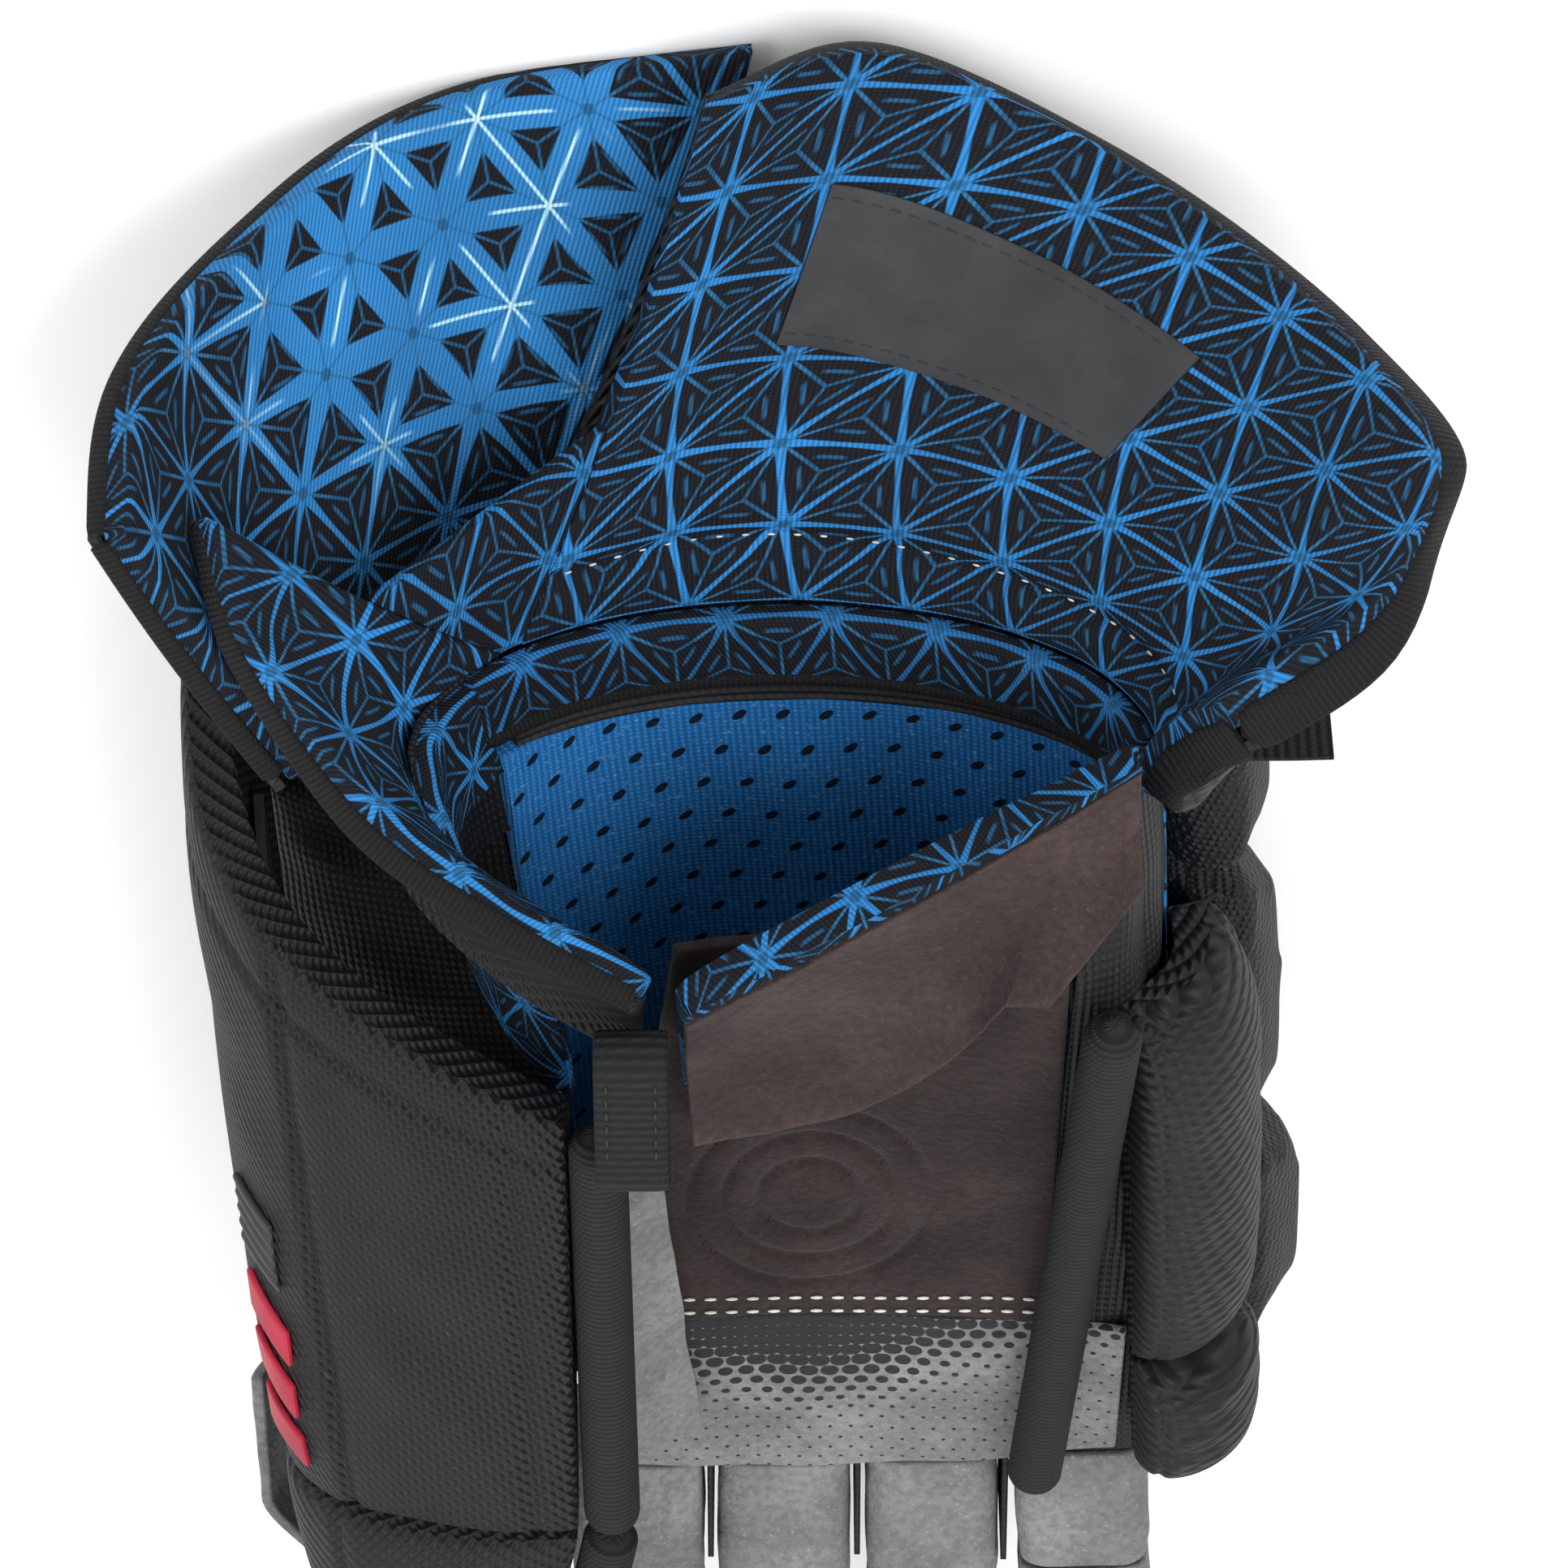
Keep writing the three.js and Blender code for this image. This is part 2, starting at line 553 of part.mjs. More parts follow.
function buildThumb() {
  const base = new THREE.Group();
  base.name = "thumb_base_joint";
  glove.add(base);
  const baseEnd = THUMB_JOINT_Y - THUMB_JOINT_GAP;
  const guard = (u, v) => guardLine(lerp(lerp(...THUMB_BASE_START, u), baseEnd, v)).getPoint(u);
  const thin = (u, v) => THUMB_PAD * (pillow(u, v, 0.75, 6) - 1);
  add(base, "thumb_guard_base", sheet(8, 6, guard, INSIDE_THUMB, -THUMB_PAD, thin), "mesh");
  const plate = (u, v) => guard(lerp(1 / 8, 7 / 8, u), lerp(1 / 6, 5 / 6, v));
  const plateIn = THUMB_PAD + GAP + 0.6;
  add(base, "thumb_guard_plate", sheet(6, 4, plate, INSIDE_THUMB, -plateIn - PLATE, -plateIn), "plastic");

  const piping = THUMB_PIPING_Y.map((y) =>
    guardLine(y).getPoint(1).add(vec(-PIPING_RADIUS - 1, 0, -THUMB_PIPING_DROP)),
  );
  for (const [name, finish, along] of [
    ["thumb_emblem_grey", "label", EMBLEM_GREY_ALONG],
    ["thumb_emblem_red", "red", EMBLEM_RED_ALONG],
  ]) {
    const spot = (u, v) => [lerp(...EMBLEM_ACROSS, u), lerp(...along, v)];
    const face = (u, v) => guard(...spot(u, v));
    const on = (u, v) => thin(...spot(u, v)) + GAP;
    add(base, name, sheet(2, 3, face, INSIDE_THUMB, on, (u, v) => on(u, v) + EMBLEM), finish);
  }
  add(base, "thumb_piping", cord(piping, PIPING_RADIUS, 10), "webbing");
  const wall = (u, v) => {
    const y = lerp(THUMB_GUSSET_START_Y, baseEnd, v);
    const edge = guardLine(y).getPoint(1);
    const top = vec(edge.x - 4, y, edge.z - THUMB_PIPING_DROP - PIPING_RADIUS - 0.8);
    const foot = vec(lerp(...THUMB_GUSSET_FOOT_X, v), y, palmZ(HEEL_RIGHT[0], y) + LEATHER);
    return top.lerp(foot, u).add(vec(4 * Math.sin(Math.PI * u), 0, 0));
  };
  add(base, "thumb_gusset", sheet(4, 4, wall, vec(60, 0, 90), -LEATHER / 2, LEATHER / 2), "suede");

  const tip = new THREE.Group();
  tip.name = "thumb_tip_joint";
  base.add(tip);
  const tipFrom = THUMB_JOINT_Y + THUMB_JOINT_GAP;
  const shell = (u, v) => {
    const y = lerp(tipFrom, THUMB_END_Y, v);
    const p = guardLine(y).getPoint(u);
    return p.lerp(vec(INSIDE_TIP.x, y, 68), 0.6 * smoothstep(v, THUMB_TIP_ROUND, 1) ** 1.5);
  };
  const inner = (u, v) => -THUMB_PAD * lerp(1, 0.7, smoothstep(v, THUMB_TIP_ROUND, 1));
  add(tip, "thumb_guard_tip", sheet(8, 6, shell, INSIDE_THUMB, inner, thin), "mesh");
  const stall = (u, v) => {
    const y = lerp(tipFrom, THUMB_END_Y - THUMB_STALL_END, v);
    const close = 0.4 * smoothstep(v, 0.6, 1);
    return new THREE.CubicBezierCurve3(
      vec(37, y, lerp(82.4, 73, v)),
      vec(38, y, 42),
      vec(84, y, 32),
      vec(88, y, 54),
    ).getPoint(u).lerp(vec(57, y, 63), close);
  };
  add(tip, "thumb_stall_tip", sheet(9, 4, stall, INSIDE_TIP, -LEATHER, 0), "suede");
}

// ---------------------------------------------------------------- cuff

// A flared flap from the wrist to a rim given by stations. At the wrist it runs between two angles
// and two places, lifted off the form. It bellies out by the given amount half way up.
function flapSurface(stations, { angles, places, lift, belly }) {
  const rim = new THREE.CatmullRomCurve3(
    stations.map((s) => {
      const side = Math.sign(s.angle) || 1;
      return form(s.angle, WRIST_Y, lift).add(vec(side * s.out, -s.back, -s.down));
    }),
    false,
    "centripetal",
  );
  return (u, v) => {
    const angle = lerp(...angles, u);
    const wrist = form(angle, lerp(...places, u), lift);
    const bulge = form(angle, 0, belly).sub(form(angle, 0, 0));
    return wrist.lerp(rim.getPoint(u), v).addScaledVector(bulge, Math.sin(Math.PI * v));
  };
}

const INSIDE_CUFF = vec(0, WRIST_Y - 20, WRIST_CENTRE_Z - 4);

// The layers of a flap, from the lining out. Layers are { name, finish, thick, inset }.
function buildLayers(parent, surface, [nu, nv], layers) {
  let depth = 0;
  for (const { name, finish, thick, inset } of layers) {
    const [left, right] = [inset / nu, 1 - inset / nu];
    const [foot, rim] = [inset / nv, 1 - inset / nv];
    const patch = (u, v) => surface(lerp(left, right, u), lerp(foot, rim, v));
    const layer = sheet(nu - 2 * inset, nv - 2 * inset, patch, INSIDE_CUFF, depth, depth + thick);
    add(parent, name, restOnFloor(layer), finish);
    depth += thick + LAYER_GAP;
  }
  return depth;
}

function buildCuff() {
  const back = new THREE.Group();
  back.name = "cuff_back_joint";
  glove.add(back);
  const main = flapSurface(BACK_FLAP, BACK_FLAP_FOOT);
  const mainDepth = buildLayers(back, main, [16, 7], [
    { name: "cuff_back_liner", finish: "liner", thick: FLAP_LINER, inset: 0 },
    { name: "cuff_back_plate", finish: "plastic", thick: FLAP_PLATE, inset: 1 },
    { name: "cuff_back_cover", finish: "mesh", thick: FLAP_COVER, inset: 0 },
  ]);

  const patch = (u, v) => main(lerp(...LABEL_ACROSS, u), lerp(...LABEL_ALONG, v));
  const onLining = -GAP - LABEL;
  add(back, "cuff_label", sheet(4, 2, patch, INSIDE_CUFF, onLining, -GAP), "label");

  const side = new THREE.Group();
  side.name = "cuff_thumb_joint";
  back.add(side);
  const lift = mainDepth + THUMB_FLAP_FOOT.clearance;
  const thumbFlap = flapSurface(THUMB_FLAP, { ...THUMB_FLAP_FOOT, lift });
  buildLayers(side, thumbFlap, [10, 6], [
    { name: "cuff_thumb_liner", finish: "liner", thick: FLAP_LINER, inset: 0 },
    { name: "cuff_thumb_cover", finish: "mesh", thick: FLAP_COVER, inset: 0 },
  ]);

  const wing = new THREE.Group();
  wing.name = "cuff_wing_joint";
  glove.add(wing);
  const wingFace = flapSurface(WING, WING_FOOT);
  buildLayers(wing, wingFace, [8, 5], [
    { name: "cuff_wing_liner", finish: "liner", thick: WING_LINER, inset: 0 },
    { name: "cuff_wing_cover", finish: "mesh", thick: WING_COVER, inset: 0 },
  ]);

  const tab = new THREE.Group();
  tab.name = "palm_tab_joint";
  glove.add(tab);
  const tabFace = (u, v) => {
    const x = lerp(...TAB_X, u);
    const top = lerp(...TAB_TOP_Y, u);
    const foot = lerp(...TAB_FOOT_Y, u) + TAB_LIP * Math.sin(Math.PI * u);
    const rise = lerp(...TAB_RISE, u);
    const seat = Math.min(palmZ(x, foot) + TAB_LINER + LAYER_GAP, rise);
    return vec(x, lerp(foot, top, v), lerp(seat, rise, v));
  };
  const under = vec(-20, -70, 0);
  add(tab, "palm_tab_liner", sheet(8, 3, tabFace, under, -TAB_LINER, 0), "liner");
  const suede = sheet(8, 3, tabFace, under, LAYER_GAP, LAYER_GAP + TAB_SUEDE);
  add(tab, "palm_tab_suede", suede, "brownSuede");
}

// ---------------------------------------------------------------- small fabric pieces

// An oval outline across and along, as a shape or as the hole in one.
function oval(Path, length, height) {
  const r = height / 2;
  const half = length / 2 - r;
  return new Path()
    .absarc(half, 0, r, -Math.PI / 2, Math.PI / 2)
    .absarc(-half, 0, r, Math.PI / 2, (3 * Math.PI) / 2)
    .closePath();
}

function buildLoopAndTag() {
  const pull = new THREE.Group();
  pull.name = "pull_loop_joint";
  glove.add(pull);
  const strap = oval(THREE.Shape, LOOP_LENGTH, LOOP_HEIGHT);
  strap.holes.push(oval(THREE.Path, LOOP_LENGTH - 2 * WEBBING, LOOP_HEIGHT - 2 * WEBBING));
  const ring = closed(
    new THREE.ExtrudeGeometry(strap, { depth: LOOP_WIDTH, bevelEnabled: false, curveSegments: 6 }),
  );
  // The outline is drawn in X-Y and pushed along Z, so it is turned to lie along the glove.
  ring.rotateX(Math.PI / 2).rotateZ(Math.PI / 2).translate(LOOP_X, LOOP_Y, LOOP_Z);
  add(pull, "pull_loop", ring, "webbing");
  const tag = new THREE.BoxGeometry(...TAG_SIZE).translate(TAG_X, WRIST_Y + TAG_LEAD, TAG_Z);
  add(glove, "fabric_tag", closed(tag), "webbing");
}

buildCuff();
buildLoopAndTag();
buildBack();
buildPalm();
buildUlnarSide();
buildRadialSide();
FINGERS.forEach(buildFinger);
buildThumb();

// The origin is on the floor, under the middle of the glove.
const middle = new THREE.Box3().setFromObject(glove, true).getCenter(vec(0, 0, 0));
glove.position.set(-middle.x, -middle.y, FLOOR_Z);

export default glove;
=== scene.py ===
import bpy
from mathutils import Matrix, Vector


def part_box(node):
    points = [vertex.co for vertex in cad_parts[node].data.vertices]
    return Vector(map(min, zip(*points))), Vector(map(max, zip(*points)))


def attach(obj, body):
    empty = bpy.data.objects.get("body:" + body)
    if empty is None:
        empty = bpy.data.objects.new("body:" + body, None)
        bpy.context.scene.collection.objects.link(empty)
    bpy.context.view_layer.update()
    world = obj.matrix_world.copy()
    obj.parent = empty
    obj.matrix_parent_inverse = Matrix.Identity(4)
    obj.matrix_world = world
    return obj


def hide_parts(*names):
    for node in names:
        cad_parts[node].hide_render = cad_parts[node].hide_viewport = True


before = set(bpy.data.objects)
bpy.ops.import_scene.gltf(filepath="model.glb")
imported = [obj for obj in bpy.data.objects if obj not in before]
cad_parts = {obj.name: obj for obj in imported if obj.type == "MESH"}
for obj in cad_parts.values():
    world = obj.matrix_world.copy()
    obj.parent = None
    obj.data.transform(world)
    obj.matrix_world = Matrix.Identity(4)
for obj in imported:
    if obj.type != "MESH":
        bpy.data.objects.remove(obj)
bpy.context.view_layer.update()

"""A right-hand ice-hockey glove, lying on its back with the palm up.

The sizes of the pieces are millimetres in the maker's own frame, where +Y runs from the cuff to the
fingertips and X is 0 at the middle of the wrist. They become metres in the CAD frame as a mesh is
finished. Angles round the hand start at the middle of its back, positive to the thumb side.
"""

import logging
import math
from dataclasses import dataclass
from enum import Enum
from functools import partial
from typing import Callable, Sequence, Union

import bmesh
import bpy
from mathutils import Matrix, Vector, noise

logging.basicConfig(level=logging.INFO, format="%(message)s")
log = logging.getLogger("glove")

MM = 0.001
TAG_CENTRE = Vector((-72.0, -94.4, 70.0))
TAG_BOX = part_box("fabric_tag")
SHIFT = (TAG_BOX[0] + TAG_BOX[1]) / 2 / MM - TAG_CENTRE
WRIST_Y = -95.0
KNUCKLE_Y = 67.0
FLOOR_LIFT = 0.0001  # metres, so that nothing goes through the floor
LINE_STEPS = 200  # how finely a row of stitches follows its line
UPWARDS = Vector((0.0, 0.0, 1.0))

Surface = Callable[[float, float], Vector]
Place = Callable[[float, float], tuple[float, float]]
Line = Callable[[float], Vector]
Depth = Union[float, Callable[[float, float], float]]
Spine = Callable[[float], tuple[Vector, Vector, Vector]]


def lerp(a: float, b: float, t: float) -> float:
    """Return the value that is t of the way from a to b."""
    return a + (b - a) * t


def smooth(x: float, low: float, high: float) -> float:
    """Return 0 below low, 1 above high and an eased value between."""
    t = min(max((x - low) / (high - low), 0.0), 1.0)
    return t * t * (3 - 2 * t)


def depth_at(depth: Depth, u: float, v: float) -> float:
    """Return a depth that is a number, or a function of the place on a surface."""
    return depth(u, v) if callable(depth) else depth


def bezier(ends: Sequence[Vector], t: float) -> Vector:
    """Return a point of the Bezier curve with three or four control points.

    Args:
        ends: the control points.
        t: 0 at the first and 1 at the last.

    Returns:
        The point of the curve.
    """
    points = list(ends)
    while len(points) > 1:
        points = [a.lerp(b, t) for a, b in zip(points, points[1:])]
    return points[0]


def catmull(points: Sequence[Vector], t: float) -> Vector:
    """Return a point of the centripetal Catmull-Rom curve through the points.

    Args:
        points: what the curve passes through.
        t: 0 at the first point and 1 at the last.

    Returns:
        The point of the curve.
    """
    last = len(points) - 1
    place = min(max(t, 0.0), 1.0) * last
    i = min(int(place), last - 1)
    w = place - i
    before = points[i - 1] if i > 0 else points[0] * 2 - points[1]
    after = points[i + 2] if i + 2 <= last else points[last] * 2 - points[last - 1]
    p = [before, points[i], points[i + 1], after]
    gaps = [max(math.sqrt((b - a).length), 1e-4) for a, b in zip(p, p[1:])]
    start = (p[1] - p[0]) / gaps[0] - (p[2] - p[0]) / (gaps[0] + gaps[1]) + (p[2] - p[1]) / gaps[1]
    end = (p[2] - p[1]) / gaps[1] - (p[3] - p[1]) / (gaps[1] + gaps[2]) + (p[3] - p[2]) / gaps[2]
    start, end = start * gaps[1], end * gaps[1]
    c2 = (p[2] - p[1]) * 3 - start * 2 - end
    c3 = (p[1] - p[2]) * 2 + start + end
    return p[1] + start * w + c2 * w**2 + c3 * w**3


def normal_at(surface: Surface, u: float, v: float, inside: Vector) -> Vector:
    """Return the unit normal of the surface that points away from the inside point.

    Args:
        surface: what the normal belongs to.
        u: the place across.
        v: the place along.
        inside: the point that the normal points away from.

    Returns:
        The unit normal.
    """
    step = 1e-3
    along = surface(min(u + step, 1), v) - surface(max(u - step, 0), v)
    up = surface(u, min(v + step, 1)) - surface(u, max(v - step, 0))
    normal = along.cross(up).normalized()
    return -normal if normal.dot(surface(u, v) - inside) < 0 else normal


def in_row(point: Vector) -> Vector:
    """Return a point of the maker's frame in metres of the CAD frame."""
    place = (point + SHIFT) * MM
    place.z = max(place.z, FLOOR_LIFT)
    return place


def crown(u: float, v: float, power: float = 4.0) -> float:
    """Return how full a pad is: 1 over its middle and 0 at its rim."""
    return math.sqrt((1 - abs(2 * u - 1) ** power) * (1 - abs(2 * v - 1) ** power))


# ---------------------------------------------------------------- meshes


def new_piece(name: str, bm: bmesh.types.BMesh) -> bpy.types.Object:
    """Turn a finished bmesh into a smooth-shaded object and log its size.

    Args:
        name: the piece's name.
        bm: its mesh, which is freed.

    Returns:
        The object.
    """
    mesh = bpy.data.meshes.new(name)
    bm.to_mesh(mesh)
    bm.free()
    mesh.polygons.foreach_set("use_smooth", [True] * len(mesh.polygons))
    piece = bpy.data.objects.new(name, mesh)
    bpy.context.scene.collection.objects.link(piece)
    log.info("%s: %d faces", name, len(mesh.polygons))
    return piece


def sheet(
    name: str,
    surface: Surface,
    cuts: tuple[int, int],
    inside: Vector,
    near: Depth,
    far: Depth,
    rim: float = 0.5,
) -> bpy.types.Object:
    """Make a closed layer of fabric between two depths off a surface, with a rounded rim.

    Args:
        name: the piece's name.
        surface: the place (u, v) of the surface, in the maker's frame.
        cuts: how many faces it has along u and along v.
        inside: the point that depths are counted away from.
        near: the depth of its inner face.
        far: the depth of its outer face.
        rim: the radius of its rounded rim.

    Returns:
        The object, with a UV map of metres along the surface.
    """
    nu, nv = cuts
    bm = bmesh.new()
    uv = bm.loops.layers.uv.new("UVMap")
    bmesh.ops.create_grid(bm, x_segments=nu, y_segments=nv, size=0.5)
    lu, lv = bm.verts.layers.float.new("u"), bm.verts.layers.float.new("v")
    for vert in bm.verts:
        vert[lu], vert[lv] = vert.co.x + 0.5, vert.co.y + 0.5
    grown = bmesh.ops.extrude_face_region(bm, geom=bm.faces[:])["geom"]
    outer = {item for item in grown if isinstance(item, bmesh.types.BMVert)}
    spots: dict[tuple[int, int], tuple[Vector, Vector]] = {}
    near_depth: dict[tuple[int, int], float] = {}
    far_depth: dict[tuple[int, int], float] = {}
    for i in range(nu + 1):
        for j in range(nv + 1):
            u, v = i / nu, j / nv
            spots[i, j] = surface(u, v), normal_at(surface, u, v, inside)
            near_depth[i, j], far_depth[i, j] = depth_at(near, u, v), depth_at(far, u, v)
    run, rise = {}, {}
    for j in range(nv + 1):
        run[0, j] = 0.0
        for i in range(1, nu + 1):
            run[i, j] = run[i - 1, j] + (spots[i, j][0] - spots[i - 1, j][0]).length * MM
    for i in range(nu + 1):
        rise[i, 0] = 0.0
        for j in range(1, nv + 1):
            rise[i, j] = rise[i, j - 1] + (spots[i, j][0] - spots[i, j - 1][0]).length * MM
    for vert in bm.verts:
        u, v = vert[lu], vert[lv]
        i, j = round(u * nu), round(v * nv)
        place, normal = spots[i, j]
        depth = far_depth[i, j] if vert in outer else near_depth[i, j]
        vert.co = in_row(place + normal * depth)
        for loop in vert.link_loops:
            walled = any((v in outer) != (vert in outer) for v in loop.face.verts)
            out = (far_depth[i, j] - near_depth[i, j]) * MM if walled and vert in outer else 0.0
            side = (1 if i == nu else -1 if i == 0 else 0, 1 if j == nv else -1 if j == 0 else 0)
            loop[uv].uv = (run[i, j] - run[nu, j] / 2 + side[0] * out, rise[i, j] + side[1] * out)
    bmesh.ops.recalc_face_normals(bm, faces=bm.faces)
    if rim > 0:
        sharp = [e for e in bm.edges if e.is_manifold and e.calc_face_angle() > 0.9]
        bmesh.ops.bevel(
            bm,
            geom=sharp,
            offset=rim * MM,
            offset_type="OFFSET",
            affect="EDGES",
            segments=3,
            profile=0.5,
            material=-1,
            clamp_overlap=True,
        )
    return new_piece(name, bm)


def tube(
    name: str,
    spine: Spine,
    half: tuple[float, float],
    steps: int,
    sides: int = 12,
    closed: bool = False,
    power: float = 2.0,
    dome: float = 0.0,
) -> bpy.types.Object:
    """Sweep an oval or flat section along a spine.

    Args:
        name: the piece's name.
        spine: gives the centre, the across direction and the up direction at t from 0 to 1.
        half: half the section's size across and up.
        steps: how many faces it has along the spine.
        sides: how many faces it has round.
        closed: whether its end joins its start.
        power: 2 for an oval section, and more for a squarer one.
        dome: how much of each end is domed, as a part of the length.

    Returns:
        The object, with a UV map of metres along and round.
    """
    bm = bmesh.new()
    uv = bm.loops.layers.uv.new("UVMap")
    bmesh.ops.create_grid(bm, x_segments=steps, y_segments=sides, size=0.5)
    spots = [spine(i / steps) for i in range(steps + 1)]
    run = [0.0]
    for a, b in zip(spots, spots[1:]):
        run.append(run[-1] + (b[0] - a[0]).length * MM)
    for vert in bm.verts:
        t, turn = vert.co.x + 0.5, 2 * math.pi * (vert.co.y + 0.5)
        i = round(t * steps)
        centre, across, up = spots[i]
        size = 1.0
        if dome > 0:
            end = min(t, 1 - t) / dome
            size = math.sqrt(max(1 - (1 - min(end, 1.0)) ** 2, 0.0))
        c, s = math.cos(turn), math.sin(turn)
        a = math.copysign(abs(c) ** (2 / power), c) * half[0] * size
        b = math.copysign(abs(s) ** (2 / power), s) * half[1] * size
        for loop in vert.link_loops:
            loop[uv].uv = (run[i], turn / (2 * math.pi) * 3 * (half[0] + half[1]) * MM)
        vert.co = in_row(centre + across * a + up * b)
    bmesh.ops.remove_doubles(bm, verts=bm.verts, dist=1e-6)
    if not closed:
        ends = [e for e in bm.edges if e.is_boundary]
        if ends:
            bmesh.ops.holes_fill(bm, edges=ends, sides=0)
    bmesh.ops.recalc_face_normals(bm, faces=bm.faces)
    return new_piece(name, bm)


def along_line(points: Sequence[Vector], up: Vector) -> Spine:
    """Return the spine of a cord through the points, with its up side kept near the given direction.

    Args:
        points: what the cord passes through.
        up: the direction of its up side.

    Returns:
        The spine.
    """

    def spine(t: float) -> tuple[Vector, Vector, Vector]:
        """Return the centre, the across direction and the up direction at t."""
        ahead = catmull(points, min(t + 0.01, 1)) - catmull(points, max(t - 0.01, 0))
        across = ahead.cross(up).normalized()
        return catmull(points, t), across, across.cross(ahead).normalized()

    return spine


def along_surface(
    surface: Surface,
    inside: Vector,
    depth: Depth,
    path: Sequence[tuple[float, float]],
) -> Spine:
    """Return the spine of a binding on a surface: across lies in the surface, and up is its normal.

    Args:
        surface: what the binding lies on.
        inside: the point that the surface's depths are counted away from.
        depth: the depth of the binding's middle.
        path: the places (u, v) that the binding passes.

    Returns:
        The spine.
    """
    corners = [Vector((u, v, 0)) for u, v in path]

    def place(t: float) -> Vector:
        """Return the place on the surface, lifted by the depth, at t."""
        spot = catmull(corners, t)
        u, v = min(max(spot.x, 0), 1), min(max(spot.y, 0), 1)
        return surface(u, v) + normal_at(surface, u, v, inside) * depth_at(depth, u, v)

    def spine(t: float) -> tuple[Vector, Vector, Vector]:
        """Return the centre, the across direction and the up direction at t."""
        spot = catmull(corners, t)
        up = normal_at(surface, min(max(spot.x, 0), 1), min(max(spot.y, 0), 1), inside)
        ahead = (place(min(t + 0.004, 1)) - place(max(t - 0.004, 0))).normalized()
        across = ahead.cross(up).normalized()
        return place(t), across, across.cross(ahead).normalized()

    return spine


def stitches(
    name: str,
    lines: Sequence[Line],
    length: float,
    gap: float,
    thick: float,
) -> bpy.types.Object:
    """Lay rows of thread along lines, one short domed stitch after another.

    Args:
        name: the piece's name.
        lines: each gives the point at t from 0 to 1, in the maker's frame.
        length: how long a stitch is.
        gap: the space between two stitches.
        thick: the thread's radius.

    Returns:
        The object that holds every stitch.
    """
    bm = bmesh.new()
    for line in lines:
        points = [line(i / LINE_STEPS) for i in range(LINE_STEPS + 1)]
        total = sum((b - a).length for a, b in zip(points, points[1:]))
        count = max(int(total / (length + gap)), 1)
        travelled, target, made = 0.0, 0.0, 0
        for a, b in zip(points, points[1:]):
            step = (b - a).length
            while made < count and travelled + step >= target:
                centre = a.lerp(b, (target - travelled) / max(step, 1e-6))
                turn = (b - a).to_track_quat("X", "Z").to_matrix().to_4x4()
                size = Matrix.Diagonal((length / 2 * MM, thick * MM, thick * MM, 1))
                place = Matrix.Translation(in_row(centre)) @ turn @ size
                bmesh.ops.create_uvsphere(bm, u_segments=6, v_segments=5, radius=1.0, matrix=place)
                target += length + gap
                made += 1
            travelled += step
    return new_piece(name, bm)


@dataclass(frozen=True)
class Stuffing:
    """How a foam pad is filled: the remesh size, the starting shrink, the swell and its limit, in mm."""

    voxel: float = 4.0
    shrink: float = 1.2
    pressure: float = 4.0
    cap: float = 3.0
    fill: float = 0.8
    frames: int = 20


def stuffed(name: str, node: str, stuffing: Stuffing) -> bpy.types.Object:
    """Make a stuffed pad in the space of a CAD solid by inflating it as cloth.

    Args:
        name: the pad's name.
        node: the CAD node whose space it fills.
        stuffing: how it is filled.

    Returns:
        The pad, with the simulation applied and one subdivision.
    """
    piece = bpy.data.objects.new(name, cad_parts[node].data.copy())
    piece.data.name = name
    piece.data.materials.clear()
    bpy.context.scene.collection.objects.link(piece)
    bm = bmesh.new()
    bm.from_mesh(piece.data)
    bmesh.ops.remove_doubles(bm, verts=bm.verts, dist=1e-6)
    bmesh.ops.recalc_face_normals(bm, faces=bm.faces)
    bm.to_mesh(piece.data)
    bm.free()
    remesh = piece.modifiers.new("remesh", "REMESH")
    remesh.mode, remesh.voxel_size = "VOXEL", stuffing.voxel * MM
    apply_modifiers(piece)
    mesh = piece.data
    for vert, normal in zip(mesh.vertices, [v.normal.copy() for v in mesh.vertices]):
        vert.co -= normal * stuffing.shrink * MM
    start = [v.co.copy() for v in mesh.vertices]
    cloth = piece.modifiers.new("cloth", "CLOTH")
    cloth.settings.quality = 4
    cloth.settings.use_pressure = True
    cloth.settings.uniform_pressure_force = stuffing.pressure
    cloth.settings.effector_weights.gravity = 0
    cloth.point_cache.frame_start, cloth.point_cache.frame_end = 1, stuffing.frames
    for step in range(1, stuffing.frames + 1):
        bpy.context.scene.frame_set(step)
    apply_modifiers(piece)
    bpy.context.scene.frame_set(1)
    for vert, home in zip(piece.data.vertices, start):
        move = vert.co - home
        if move.length > stuffing.cap * MM:
            move *= stuffing.cap * MM / move.length
        vert.co = home + move
    round_off = piece.modifiers.new("round", "SUBSURF")
    round_off.levels = round_off.render_levels = 1
    apply_modifiers(piece)
    piece.data.polygons.foreach_set("use_smooth", [True] * len(piece.data.polygons))
    log.info("%s: %d faces, stuffed", name, len(piece.data.polygons))
    return piece


def stretched(piece: bpy.types.Object, surface: Surface) -> None:
    """Log the size that a piece of flat cloth, sewn in all round, is cut to from its surface.

    Args:
        piece: the cloth.
        surface: the surface that it was made on, in the maker's frame.
    """
    cells = 24
    grid = [[surface(i / cells, j / cells) for j in range(cells + 1)] for i in range(cells + 1)]
    area = across = along = 0.0
    for i in range(cells):
        for j in range(cells):
            a, b, c, d = grid[i][j], grid[i + 1][j], grid[i + 1][j + 1], grid[i][j + 1]
            area += ((b - a).cross(d - a).length + (b - c).cross(d - c).length) / 2
            across += (b - a).length / cells
            along += (d - a).length / cells
    area = min(area, across * along)
    log.info("%s is cut to %.0f x %.0f mm", piece.name, across, along)


